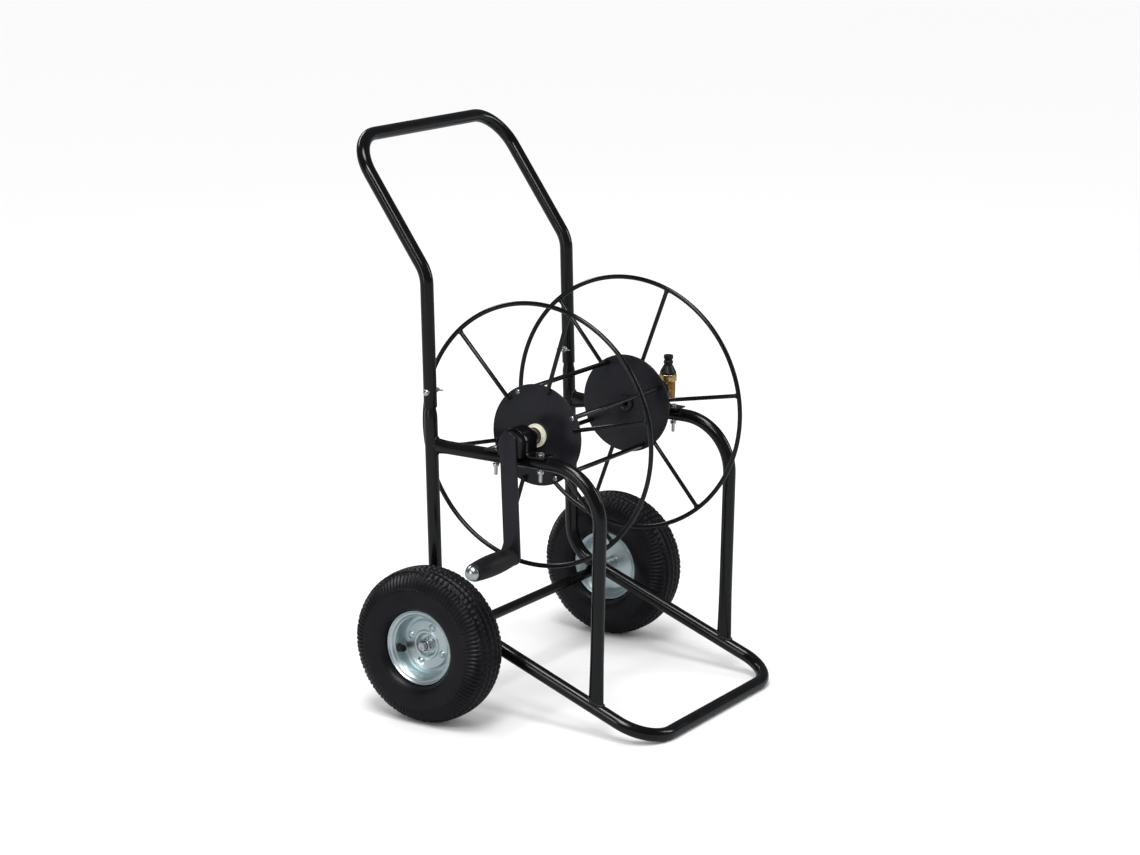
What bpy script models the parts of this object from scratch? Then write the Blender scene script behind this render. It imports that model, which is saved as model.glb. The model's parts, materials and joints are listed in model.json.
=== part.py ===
"""Garden hose reel cart: a bent-tube cart on two pneumatic wheels, with a wire hose reel turned by a crank.

X runs across the cart, from the crank side (-X) to the water inlet side (+X). Y runs from the nose at the
front (-Y) to the handle at the back (+Y). Z is up. Sizes are in metres. The pieces are placed from the
wheel axle, which is at Y = 0, and the last step puts the origin under the middle of the finished cart.
"""

import math

import bmesh
import bpy
from mathutils import Matrix, Vector

# Clearances
GAP = 0.0003  # between faces that touch on the real cart
RUNNING_GAP = 0.0005  # round a piece that turns
BOLT_CLEARANCE = 0.0004  # radial, between a bolt and its hole

# Frame tubes
TUBE_RADIUS = 0.0111
TUBE_WALL = 0.0015
FRAME_HALF_WIDTH = 0.216  # from the middle of the cart to the middle of each side tube
NOSE_Y = -0.378
NOSE_CORNER_RADIUS = 0.065
HEEL_RADIUS = 0.070
UPRIGHT_Y = 0.037  # the uprights' middle, at axle height
UPRIGHT_LEAN = 0.045  # backwards, per metre of height

# Handle, which slips over the swaged tops of the uprights
JOINT_HEIGHT = 0.507
SHOULDER_LENGTH = 0.009
SHOULDER_DROP = 0.013
SPIGOT_LENGTH = 0.055
HANDLE_BOLT_RISE = 0.025
HANDLE_BEND_HEIGHT = 0.727
HANDLE_BEND_RADIUS = 0.060
HANDLE_TOP_Y = 0.217
HANDLE_TOP_Z = 0.9365
HANDLE_CORNER_RADIUS = 0.068

# Support hoops, one a side, which carry the reel
HOOP_HEIGHT = 0.4416
HOOP_FRONT_Y = -0.2755
HOOP_BEND_RADIUS = 0.090
FOOT_FLAT_LENGTH = 0.105
FOOT_FLAT_THICKNESS = 0.014
FOOT_FLAT_WIDTH = 0.027
TAIL_FLAT_LENGTH = 0.035
TAIL_FLAT_THICKNESS = 0.013
TAIL_FLAT_WIDTH = 0.028

# Wheels and axle
WHEEL_RADIUS = 0.130
WHEEL_X = FRAME_HALF_WIDTH + 0.079  # to the middle of each wheel
TYRE_WIDTH = 0.087
TYRE_WALL = 0.006
RIM_FLANGE_RADIUS = 0.0628
RIM_HALF_WIDTH = 0.030
RIM_SHEET = 0.0016
BEAD_RADIUS = 0.0515
RIM_LIP_DEPTH = 0.0075
RIM_PLATE_RADIUS = 0.0405
RIM_FLOOR = -0.0020  # the dish's bottom, outwards from the wheel's middle
RIM_PLATE_RISE = 0.008
RIM_BEND = 0.0040  # the run of a slope between two levels of the rim
HUB_RECESS_RADIUS = 0.0215
RIM_BOLT_CIRCLE = 0.0325
RIM_BOLT_RADIUS = 0.0062
RIM_BOLT_HEIGHT = 0.0040
RIM_BOLT_COUNT = 4
RIM_BOLT_FIRST_ANGLE = 69.5
VALVE_RADIUS = 0.0036
VALVE_ANGLE = 194.0
VALVE_LENGTH = 0.0150  # inwards from the rim's seat
INNER_TUBE_WALL = 0.0020
INNER_TUBE_CLEARANCE = 0.0060  # inside the tyre
AXLE_TUBE_RADIUS = 0.0090
AXLE_TUBE_WALL = 0.0015
AXLE_TUBE_OVERHANG = 0.022  # past the side tubes' middle
AXLE_RADIUS = 0.0070
HUB_BUSH_WALL = 0.0035
HUB_BUSH_LENGTH = 0.046
HUB_BUSH_OUTER_END = 0.0040  # outwards from the wheel's middle
AXLE_NUT_FLATS = 0.021
AXLE_NUT_THICKNESS = 0.010
AXLE_STICK_OUT = 0.007

# Reel
REEL_Y = -0.1184
REEL_Z = 0.4727
REEL_LEFT_X = -FRAME_HALF_WIDTH + 0.0505  # the middle of the left wire wheel
REEL_RIGHT_X = FRAME_HALF_WIDTH - 0.0844
RING_RADIUS = 0.218
RING_WIRE_RADIUS = 0.0039
SPOKE_WIRE_RADIUS = 0.0036
SPOKE_COUNT = 6
SPOKE_LAP = 0.010  # how far a spoke lies on the disc
LEFT_SPOKE_ANGLE = 13.9
RIGHT_SPOKE_ANGLE = 10.8
DISC_RADIUS = 0.0846
DISC_THICKNESS = 0.003
BAR_COUNT = 4
BAR_CIRCLE = 0.0770
BAR_FIRST_ANGLE = 29.0
BAR_RADIUS = 0.0040
BAR_SCREW_RADIUS = 0.0020
BAR_SCREW_LENGTH = 0.016
BAR_SCREW_HEAD_RADIUS = 0.0045
BAR_SCREW_HEAD_HEIGHT = 0.0030

# Reel shaft, bearings and saddles
SHAFT_RADIUS = 0.01335
SHAFT_WALL = 0.0030
SHAFT_PROUD = 0.004  # past the disc's inner face
THRUST_RING_RADIUS = 0.0195
THRUST_RING_LENGTH = 0.008
SADDLE_WIDTH = 0.032
SADDLE_SHEET = 0.003
SADDLE_ARCH_RADIUS = 0.0250  # round the reel's axis
SADDLE_FILLET = 0.005
SADDLE_REACH = 0.057
SADDLE_BOLT_SPACING = 0.0428  # from the reel's axis to each bolt
SADDLE_BOLT_RADIUS = 0.0030
SADDLE_BOLT_HEAD_RADIUS = 0.0056
SADDLE_BOLT_HEAD_HEIGHT = 0.0040
SADDLE_BOLT_TAIL = 0.0190
NUT_FLATS = 0.010
NUT_THICKNESS = 0.0050
BEARING_INNER_X = FRAME_HALF_WIDTH - 0.0170
LEFT_BEARING_OUTER_X = FRAME_HALF_WIDTH + 0.0278  # just short of the crank
RIGHT_BEARING_OUTER_X = FRAME_HALF_WIDTH + 0.0170  # just past its saddle

# Crank
CRANK_THROW = 0.1843
CRANK_REST_ANGLE = 3.5  # forward from hanging straight down
CRANK_THICKNESS = 0.0055
CRANK_HALF_WIDTH = 0.0152
CRANK_TOP_MARGIN = 0.0076
CRANK_INNER_X = -FRAME_HALF_WIDTH - 0.0285
PIN_RADIUS = 0.0040
GRIP_LENGTH = 0.113
GRIP_END_RADIUS = 0.0142
GRIP_MIDDLE_RADIUS = 0.0180
CAP_RADIUS = 0.0125
CAP_LENGTH = 0.011
PIN_HEAD_RADIUS = 0.0060
PIN_HEAD_HEIGHT = 0.0020

# Water inlet
INLET_X = FRAME_HALF_WIDTH + 0.0530
INLET_SPIGOT_RADIUS = 0.0080
INLET_SPIGOT_WALL = 0.0025
ELBOW_START_X = FRAME_HALF_WIDTH + 0.0290
ELBOW_RADIUS = 0.0138
ELBOW_SOCKET_RADIUS = 0.0130
ELBOW_DROP = 0.0160
ELBOW_RISE = 0.0130
ELBOW_BORE = 0.0060
COLLAR_RADIUS = 0.0158
COLLAR_HEIGHT = 0.0130
COLLAR_BORE = 0.0070
CONNECTOR_HEIGHT = 0.0335
CONNECTOR_BASE_RADIUS = 0.0145
CONNECTOR_NECK_RADIUS = 0.0074
CONNECTOR_TIP_RADIUS = 0.0084
CONNECTOR_BORE = 0.0045

# Handle bolts and wing nuts
HANDLE_BOLT_RADIUS = 0.0030
HANDLE_BOLT_HEAD_RADIUS = 0.0058
HANDLE_BOLT_HEAD_HEIGHT = 0.0038
HANDLE_BOLT_TAIL = 0.0130
WING_HUB_RADIUS = 0.0055
WING_HUB_LENGTH = 0.0065
WING_SPAN = 0.0125
WING_THICKNESS = 0.0018
WING_LENGTH = 0.0084
WING_LEAN = 28.0  # degrees away from the bolt

# Roundness: sides of a tube, a wire and a turned piece
TUBE_SIDES = 10
WIRE_SIDES = 6
BEND_STEPS = 4
RING_STEPS = 40
DISC_STEPS = 32
WHEEL_STEPS = 24
SMALL_STEPS = 12

SIDES = (("left", -1), ("right", 1))


# Derived places
def upright_y(height):
    """Where an upright's middle line is at a height."""
    return UPRIGHT_Y + UPRIGHT_LEAN * (height - WHEEL_RADIUS)


def base_direction():
    """Backwards along the base tubes, which rise from the nose and pass just above the axle tube."""
    to_axle = Vector((0, -NOSE_Y, WHEEL_RADIUS - TUBE_RADIUS))
    above_axle = TUBE_RADIUS + AXLE_TUBE_RADIUS + GAP
    angle = math.atan2(to_axle.z, to_axle.y) + math.asin(above_axle / to_axle.length)
    return Vector((0, math.cos(angle), math.sin(angle)))


def heel_point(x):
    """Where an upright's line and a base tube's line cross."""
    along = base_direction()
    start_y = upright_y(TUBE_RADIUS)
    run = (start_y - NOSE_Y) / (along.y - UPRIGHT_LEAN * along.z)
    return Vector((x, NOSE_Y + along.y * run, TUBE_RADIUS + along.z * run))


def polar(radius, degrees):
    """A point round the reel's axis, with 0 degrees to the front and 90 degrees up, as (x, y, z)."""
    angle = math.radians(degrees)
    return Vector((0, -radius * math.cos(angle), radius * math.sin(angle)))


SPIGOT_RADIUS = TUBE_RADIUS - TUBE_WALL - GAP
HANDLE_BOLT_Z = JOINT_HEIGHT + HANDLE_BOLT_RISE
LEFT_DISC_X = REEL_LEFT_X + SPOKE_WIRE_RADIUS + GAP + DISC_THICKNESS / 2
RIGHT_DISC_X = REEL_RIGHT_X - SPOKE_WIRE_RADIUS - GAP - DISC_THICKNESS / 2
HOOP_TOP = HOOP_HEIGHT + TUBE_RADIUS
CRANK_OUTER_X = CRANK_INNER_X - CRANK_THICKNESS


# Modelling helpers
def material(name, colour, roughness, metallic=0.0):
    made = bpy.data.materials.new(name)
    made.use_nodes = True
    shader = made.node_tree.nodes["Principled BSDF"]
    shader.inputs["Base Color"].default_value = (*colour, 1.0)
    shader.inputs["Roughness"].default_value = roughness
    shader.inputs["Metallic"].default_value = metallic
    return made


def body(name, parent=None, location=(0, 0, 0)):
    """An empty on a joint's axis, which the pieces of one moving body hang from."""
    empty = bpy.data.objects.new(name, None)
    bpy.context.collection.objects.link(empty)
    empty.parent = parent
    empty.location = location
    return empty


def place(name, mesh, parent, finish, location=(0, 0, 0)):
    """Links a mesh as a named piece, shaded smooth with sharp corners kept."""
    piece = bpy.data.objects.new(name, mesh)
    bpy.context.collection.objects.link(piece)
    piece.parent = parent
    piece.location = location
    mesh.materials.clear()
    mesh.materials.append(finish)
    mesh.shade_smooth()
    mesh.set_sharp_from_angle(angle=math.radians(35))
    return piece


def mesh_from(bm, name="shape"):
    mesh = bpy.data.meshes.new(name)
    bm.to_mesh(mesh)
    bm.free()
    return mesh


def combine(piece, operation, mesh, parent, location):
    """Adds a Boolean to a piece, with the other shape as a hidden object beside it."""
    helper = bpy.data.objects.new(piece.name + "_helper", mesh)
    bpy.context.collection.objects.link(helper)
    helper.parent = parent
    helper.location = location
    helper.hide_render = True
    helper.display_type = "WIRE"
    boolean = piece.modifiers.new(operation.lower(), "BOOLEAN")
    boolean.operation = operation
    boolean.solver = "EXACT"
    boolean.object = helper


def cut(piece, mesh, parent=None, location=(0, 0, 0)):
    """Takes a shape out of a piece."""
    combine(piece, "DIFFERENCE", mesh, parent, location)


def join(piece, mesh, parent=None, location=(0, 0, 0)):
    """Welds a shape onto a piece."""
    combine(piece, "UNION", mesh, parent, location)


def rod(start, end, radius, sides=WIRE_SIDES, bm=None):
    """A closed round bar between two points."""
    bm = bm or bmesh.new()
    start, end = Vector(start), Vector(end)
    axis = end - start
    turn = Vector((0, 0, 1)).rotation_difference(axis).to_matrix().to_4x4()
    where = Matrix.Translation((start + end) / 2) @ turn
    bmesh.ops.create_cone(
        bm, cap_ends=True, segments=sides, radius1=radius, radius2=radius, depth=axis.length, matrix=where
    )
    return bm


def rods(runs, radius, sides=SMALL_STEPS):
    """Several round bars in one mesh, for a cutter that drills several holes."""
    bm = bmesh.new()
    for start, end in runs:
        rod(start, end, radius, sides, bm)
    return mesh_from(bm)


def turned(profile, steps, closed=True, axis="X"):
    """Spins a profile of (distance along the axis, radius) points about the axis.

    A closed profile gives a ring. An open one starts and ends on the axis and gives a solid piece."""
    bm = bmesh.new()
    points = [bm.verts.new((along, radius, 0)) for along, radius in profile]
    pairs = list(zip(points, points[1:]))
    if closed:
        pairs.append((points[-1], points[0]))
    edges = [bm.edges.new(pair) for pair in pairs]
    bmesh.ops.spin(
        bm, geom=points + edges, axis=(1, 0, 0), cent=(0, 0, 0), steps=steps, angle=math.tau, use_merge=True
    )
    bmesh.ops.remove_doubles(bm, verts=bm.verts, dist=1e-6)
    if axis == "Z":
        bmesh.ops.rotate(bm, verts=bm.verts, matrix=Matrix.Rotation(-math.pi / 2, 3, "Y"))
    bmesh.ops.recalc_face_normals(bm, faces=bm.faces)
    return mesh_from(bm)


def mirrored_x(profile, side):
    """The profile for one side of the cart: outwards is +X on the right and -X on the left."""
    return [(side * along, radius) for along, radius in profile]


def rounded_path(corners, radii, steps=BEND_STEPS):
    """The points of a path whose corners are arcs of the given radii. A radius of 0 keeps the corner."""
    points = [corners[0]]
    for before, corner, after, radius in zip(corners, corners[1:], corners[2:], radii):
        if not radius:
            points.append(corner)
            continue
        inward = (corner - before).normalized()
        outward = (after - corner).normalized()
        turn = inward.angle(outward)
        start = corner - inward * radius * math.tan(turn / 2)
        centre = corner + (outward - inward).normalized() * radius / math.cos(turn / 2)
        spin_axis = inward.cross(outward)
        for step in range(steps + 1):
            spun = Matrix.Rotation(turn * step / steps, 3, spin_axis) @ (start - centre)
            points.append(centre + spun)
    points.append(corners[-1])
    return points


def tube_mesh(points, radius, scales=None):
    """An open tube's outer wall along a path. A scale narrows the tube at its point."""
    curve = bpy.data.curves.new("path", "CURVE")
    curve.dimensions = "3D"
    curve.bevel_depth = radius
    curve.bevel_resolution = TUBE_SIDES // 2 - 2
    spline = curve.splines.new("POLY")
    spline.points.add(len(points) - 1)
    for index, point in enumerate(points):
        spline.points[index].co = (*point, 1)
        spline.points[index].radius = scales[index] if scales else 1
    guide = bpy.data.objects.new("path", curve)
    bpy.context.collection.objects.link(guide)
    graph = bpy.context.evaluated_depsgraph_get()
    mesh = bpy.data.meshes.new_from_object(guide.evaluated_get(graph))
    bpy.data.objects.remove(guide)
    bpy.data.curves.remove(curve)
    return mesh


def give_wall(piece, wall):
    """Thickens a tube's outer wall inwards, which leaves both its ends open."""
    solidify = piece.modifiers.new("wall", "SOLIDIFY")
    solidify.thickness = wall
    solidify.offset = -1
    return piece


def slab(outline, low_x, high_x):
    """A flat outline of (y, z) points, as thick as the distance between two X values."""
    bm = bmesh.new()
    face = bm.faces.new([bm.verts.new((low_x, y, z)) for y, z in outline])
    made = bmesh.ops.extrude_face_region(bm, geom=[face])
    moved = [item for item in made["geom"] if isinstance(item, bmesh.types.BMVert)]
    bmesh.ops.translate(bm, verts=moved, vec=(high_x - low_x, 0, 0))
    bmesh.ops.recalc_face_normals(bm, faces=bm.faces)
    return mesh_from(bm)


def arc(centre, radius, start, end, steps):
    """Points (y, z) on an arc, in degrees, with 0 along +Y and 90 up."""
    angles = [math.radians(start + (end - start) * step / steps) for step in range(steps + 1)]
    return [(centre[0] + radius * math.cos(a), centre[1] + radius * math.sin(a)) for a in angles]


def flattened(mesh, amount_at, thickness, width, centre_at, wide_axis):
    """Squeezes a round tube to a thickness in X while it widens along another axis.

    amount_at gives 0 where the tube stays round and 1 where it is fully flat."""
    for vertex in mesh.vertices:
        amount = amount_at(vertex.co)
        if amount <= 0:
            continue
        middle = centre_at(vertex.co)
        thin = 1 + amount * (thickness / (2 * TUBE_RADIUS) - 1)
        wide = 1 + amount * (width / (2 * TUBE_RADIUS) - 1)
        vertex.co.x = middle.x + (vertex.co.x - middle.x) * thin
        vertex.co[wide_axis] = middle[wide_axis] + (vertex.co[wide_axis] - middle[wide_axis]) * wide


def smooth_step(value):
    value = min(max(value, 0), 1)
    return value * value * (3 - 2 * value)


# Frame
def build_lower_frame(parent, finish):
    """One long tube: up one side, round the nose and up the other side, with both tops swaged thinner."""
    shoulder = JOINT_HEIGHT - SHOULDER_DROP
    heights = [JOINT_HEIGHT + SPIGOT_LENGTH, shoulder + SHOULDER_LENGTH, shoulder]
    left, right = -FRAME_HALF_WIDTH, FRAME_HALF_WIDTH
    side_points = [Vector((0, upright_y(height), height)) for height in heights]
    corners = [point + Vector((left, 0, 0)) for point in side_points]
    corners += [heel_point(left), Vector((left, NOSE_Y, TUBE_RADIUS))]
    corners += [Vector((right, NOSE_Y, TUBE_RADIUS)), heel_point(right)]
    corners += [point + Vector((right, 0, 0)) for point in reversed(side_points)]
    radii = [0, 0, HEEL_RADIUS, NOSE_CORNER_RADIUS, NOSE_CORNER_RADIUS, HEEL_RADIUS, 0, 0]
    points = rounded_path(corners, radii)
    narrow = SPIGOT_RADIUS / TUBE_RADIUS
    scales = [narrow, narrow] + [1] * (len(points) - 4) + [narrow, narrow]
    frame = place("lower_frame", tube_mesh(points, TUBE_RADIUS, scales), parent, finish)
    give_wall(frame, TUBE_WALL)
    cut(frame, handle_bolt_holes(), parent)


def handle_bolt_holes():
    reach = FRAME_HALF_WIDTH + 2 * TUBE_RADIUS
    y = upright_y(HANDLE_BOLT_Z)
    inside = FRAME_HALF_WIDTH - 2 * TUBE_RADIUS
    runs = [((s * inside, y, HANDLE_BOLT_Z), (s * reach, y, HANDLE_BOLT_Z)) for _, s in SIDES]
    return rods(runs, HANDLE_BOLT_RADIUS + BOLT_CLEARANCE)


def build_handle(parent, finish):
    """The bent push handle, whose ends fit over the uprights' swaged tops."""
    bend_y = upright_y(HANDLE_BEND_HEIGHT)
    low = Vector((0, upright_y(JOINT_HEIGHT), JOINT_HEIGHT))
    bend = Vector((0, bend_y, HANDLE_BEND_HEIGHT))
    top = Vector((0, HANDLE_TOP_Y, HANDLE_TOP_Z))
    left, right = Vector((-FRAME_HALF_WIDTH, 0, 0)), Vector((FRAME_HALF_WIDTH, 0, 0))
    corners = [low + left, bend + left, top + left, top + right, bend + right, low + right]
    radii = [HANDLE_BEND_RADIUS, HANDLE_CORNER_RADIUS, HANDLE_CORNER_RADIUS, HANDLE_BEND_RADIUS]
    handle = place("handle", tube_mesh(rounded_path(corners, radii), TUBE_RADIUS), parent, finish)
    give_wall(handle, TUBE_WALL)
    cut(handle, handle_bolt_holes(), parent)


def build_hoop(name, side, parent, finish):
    """A bent tube from the front of an upright, over the top and down to the base tube."""
    x = side * FRAME_HALF_WIDTH
    along = base_direction()
    foot_z = TUBE_RADIUS + (HOOP_FRONT_Y - NOSE_Y) * along.z / along.y
    tail_y = upright_y(HOOP_HEIGHT)
    tail_steps = [tail_y - TAIL_FLAT_LENGTH * step / 2 for step in range(3)]
    foot_steps = [foot_z + FOOT_FLAT_LENGTH * step / 3 for step in range(4)]
    corners = [Vector((x, y, HOOP_HEIGHT)) for y in tail_steps]
    corners.append(Vector((x, HOOP_FRONT_Y, HOOP_HEIGHT)))
    corners += [Vector((x, HOOP_FRONT_Y, z)) for z in reversed(foot_steps)]
    radii = [0, 0, HOOP_BEND_RADIUS] + [0] * 3
    mesh = tube_mesh(rounded_path(corners, radii), TUBE_RADIUS)
    flattened(
        mesh,
        lambda at: smooth_step(1 - (at.z - foot_z) / FOOT_FLAT_LENGTH) * (at.y < tail_steps[-1]),
        FOOT_FLAT_THICKNESS,
        FOOT_FLAT_WIDTH,
        lambda at: Vector((x, HOOP_FRONT_Y, at.z)),
        1,
    )
    flattened(
        mesh,
        lambda at: smooth_step(1 - (tail_y - at.y) / TAIL_FLAT_LENGTH),
        TAIL_FLAT_THICKNESS,
        TAIL_FLAT_WIDTH,
        lambda at: Vector((x, at.y, HOOP_HEIGHT)),
        2,
    )
    hoop = place(name, mesh, parent, finish)
    give_wall(hoop, TUBE_WALL)
    reach = 0.06
    base_middle = Vector((x, HOOP_FRONT_Y, foot_z))
    upright = Vector((0, UPRIGHT_LEAN, 1)).normalized()
    upright_middle = Vector((x, tail_y, HOOP_HEIGHT))
    runs = [
        (base_middle - along * reach, base_middle + along * reach),
        (upright_middle - upright * reach, upright_middle + upright * reach),
    ]
    cut(hoop, rods(runs, TUBE_RADIUS + GAP, 2 * SMALL_STEPS), parent)
    cut(hoop, saddle_bolt_holes(x, HOOP_HEIGHT - 2 * TUBE_RADIUS), parent)


def saddle_bolt_holes(x, low):
    places = (REEL_Y - SADDLE_BOLT_SPACING, REEL_Y + SADDLE_BOLT_SPACING)
    runs = [((x, y, low), (x, y, REEL_Z)) for y in places]
    return rods(runs, SADDLE_BOLT_RADIUS + BOLT_CLEARANCE)


def build_axle_tube(parent, finish):
    """The cross tube under both side tubes, which the axle runs through."""
    reach = FRAME_HALF_WIDTH + AXLE_TUBE_OVERHANG
    inner = AXLE_TUBE_RADIUS - AXLE_TUBE_WALL
    profile = [(-reach, inner), (-reach, AXLE_TUBE_RADIUS), (reach, AXLE_TUBE_RADIUS), (reach, inner)]
    place("axle_tube", turned(profile, TUBE_SIDES), parent, finish, (0, 0, WHEEL_RADIUS))


def build_axle(parent, finish):
    """The steel axle through the cross tube and both wheels, with a nut on each end."""
    nut_start = WHEEL_X + HUB_BUSH_OUTER_END + RUNNING_GAP
    end = nut_start + AXLE_NUT_THICKNESS + AXLE_STICK_OUT
    chamfer = 0.001
    profile = [(-end, 0), (-end, AXLE_RADIUS - chamfer), (chamfer - end, AXLE_RADIUS)]
    profile += [(end - chamfer, AXLE_RADIUS), (end, AXLE_RADIUS - chamfer), (end, 0)]
    centre = (0, 0, WHEEL_RADIUS)
    place("axle", turned(profile, SMALL_STEPS, closed=False), parent, finish, centre)
    for name, side in SIDES:
        nut = hex_nut(AXLE_NUT_FLATS, AXLE_NUT_THICKNESS, AXLE_RADIUS + GAP, side * nut_start, side, "X")
        place("axle_nut_" + name, nut, parent, finish, centre)


def hex_nut(flats, thickness, bore, start, direction, axis):
    """A hexagon nut with a round bore, from a start along its axis."""
    corner = flats / math.sqrt(3)
    bm = bmesh.new()
    outer = [bm.verts.new((0, corner * math.cos(a), corner * math.sin(a))) for a in sixths()]
    inner = [bm.verts.new((0, bore * math.cos(a), bore * math.sin(a))) for a in sixths(2)]
    rim = [bm.edges.new((a, b)) for a, b in zip(outer, outer[1:] + outer[:1])]
    hole = [bm.edges.new((a, b)) for a, b in zip(inner, inner[1:] + inner[:1])]
    filled = bmesh.ops.triangle_fill(bm, edges=rim + hole, use_beauty=True, normal=(1, 0, 0))
    faces = [item for item in filled["geom"] if isinstance(item, bmesh.types.BMFace)]
    made = bmesh.ops.extrude_face_region(bm, geom=faces)
    moved = [item for item in made["geom"] if isinstance(item, bmesh.types.BMVert)]
    bmesh.ops.translate(bm, verts=moved, vec=(direction * thickness, 0, 0))
    bmesh.ops.translate(bm, verts=bm.verts, vec=(start, 0, 0))
    if axis == "Z":
        bmesh.ops.rotate(bm, verts=bm.verts, matrix=Matrix.Rotation(-math.pi / 2, 3, "Y"))
    bmesh.ops.recalc_face_normals(bm, faces=bm.faces)
    return mesh_from(bm)


def sixths(split=1):
    count = 6 * split
    return [math.tau * step / count for step in range(count)]


# Wheels
def build_wheel(name, side, parent, rubber, zinc, steel):
    """A tyre with its inner tube, on a rim of two pressed halves, with a bush in the hub."""
    wheel = body("wheel_" + name, parent, (side * WHEEL_X, 0, WHEEL_RADIUS))
    place("tyre_" + name, turned(mirrored_x(tyre_profile(), side), WHEEL_STEPS), wheel, rubber)
    build_inner_tube(name, side, wheel, rubber)
    build_rim(name, side, wheel, zinc)
    inner = AXLE_RADIUS + RUNNING_GAP
    outer = inner + HUB_BUSH_WALL
    end = HUB_BUSH_OUTER_END
    profile = [(end - HUB_BUSH_LENGTH, inner), (end - HUB_BUSH_LENGTH, outer), (end, outer), (end, inner)]
    bush = turned(mirrored_x(profile, side), SMALL_STEPS)
    place("hub_bush_" + name, bush, wheel, steel)


def power_curve(half_width, half_height, middle, start, end, steps):
    """A squared-off half round of (x, radius) points over the top, from one angle to another."""
    flatness = 0.75
    points = []
    for step in range(steps + 1):
        angle = math.radians(start + (end - start) * step / steps)
        c, s = math.cos(angle), math.sin(angle)
        x = half_width * math.copysign(abs(c) ** flatness, c)
        points.append((x, middle + half_height * math.copysign(abs(s) ** flatness, s)))
    return points


def tyre_profile():
    """The tyre's cut section: a tread and two side walls, open towards the rim."""
    seat = offset_line(rim_lip_line(), RIM_SHEET + GAP)
    half_height = (WHEEL_RADIUS - BEAD_RADIUS) / 2
    middle = WHEEL_RADIUS - half_height
    outer = power_curve(TYRE_WIDTH / 2, half_height, middle, -27, 207, 10)
    inner = power_curve(TYRE_WIDTH / 2 - TYRE_WALL, half_height - TYRE_WALL, middle, 205, -25, 6)
    left = [(-x, radius) for x, radius in reversed(seat)]
    return seat + outer + left + inner


def rim_lip_line():
    """The outside of the rim from its seat to its flange's edge, as (x, radius) points."""
    return [
        (RIM_HALF_WIDTH - RIM_LIP_DEPTH - TYRE_WALL / 2, BEAD_RADIUS),
        (RIM_HALF_WIDTH - RIM_LIP_DEPTH, BEAD_RADIUS),
        (RIM_HALF_WIDTH - RIM_LIP_DEPTH * 0.25, BEAD_RADIUS + RIM_LIP_DEPTH * 0.6),
        (RIM_HALF_WIDTH, RIM_FLANGE_RADIUS),
    ]


def build_inner_tube(name, side, wheel, rubber):
    """The air tube inside the tyre, with its valve stem out through the rim. The stem's bore is open."""
    ring_middle = (WHEEL_RADIUS + BEAD_RADIUS + INNER_TUBE_CLEARANCE) / 2
    ring_radius = (WHEEL_RADIUS - BEAD_RADIUS) / 2 - TYRE_WALL - INNER_TUBE_CLEARANCE
    section = [math.tau * step / 8 for step in range(8)]
    outer = [(ring_radius * math.cos(a), ring_middle + ring_radius * math.sin(a)) for a in section]
    tube = place("inner_tube_" + name, turned(outer, WHEEL_STEPS), wheel, rubber)
    hollow = ring_radius - INNER_TUBE_WALL
    inner = [(hollow * math.cos(a), ring_middle + hollow * math.sin(a)) for a in section]
    join(tube, mesh_from(rod(*valve_run(side), VALVE_RADIUS)), wheel)
    cut(tube, turned(inner, WHEEL_STEPS), wheel)
    start, end = valve_run(side)
    bore = mesh_from(rod(start - (end - start) * 0.1, end + (end - start) * 0.1, VALVE_RADIUS / 3, 6))
    cut(tube, bore, wheel)


def valve_run(side):
    """From inside the air tube, through the rim, to the open end of the valve stem."""
    start = polar(BEAD_RADIUS + 0.0200, VALVE_ANGLE)
    end = polar(BEAD_RADIUS - VALVE_LENGTH, VALVE_ANGLE)
    end.x = side * (RIM_HALF_WIDTH - RIM_LIP_DEPTH)
    return start, end


def sheet_section(line, thickness):
    """A thin sheet's closed section: a line of (x, radius) points, and the same line moved by the sheet."""
    return list(line) + offset_line(line, thickness)[::-1]


def offset_line(line, distance):
    """A line of (x, radius) points moved sideways, to the left of its direction."""
    moved = []
    for index, point in enumerate(line):
        before = Vector(line[max(index - 1, 0)])
        after = Vector(line[min(index + 1, len(line) - 1)])
        here = Vector(point)
        first = (here - before).normalized() if index else (after - here).normalized()
        second = (after - here).normalized() if index < len(line) - 1 else first
        middle = (first + second).normalized()
        normal = Vector((middle.y, -middle.x))
        moved.append(tuple(here - normal * distance / max(first.dot(middle), 0.5)))
    return moved


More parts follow.
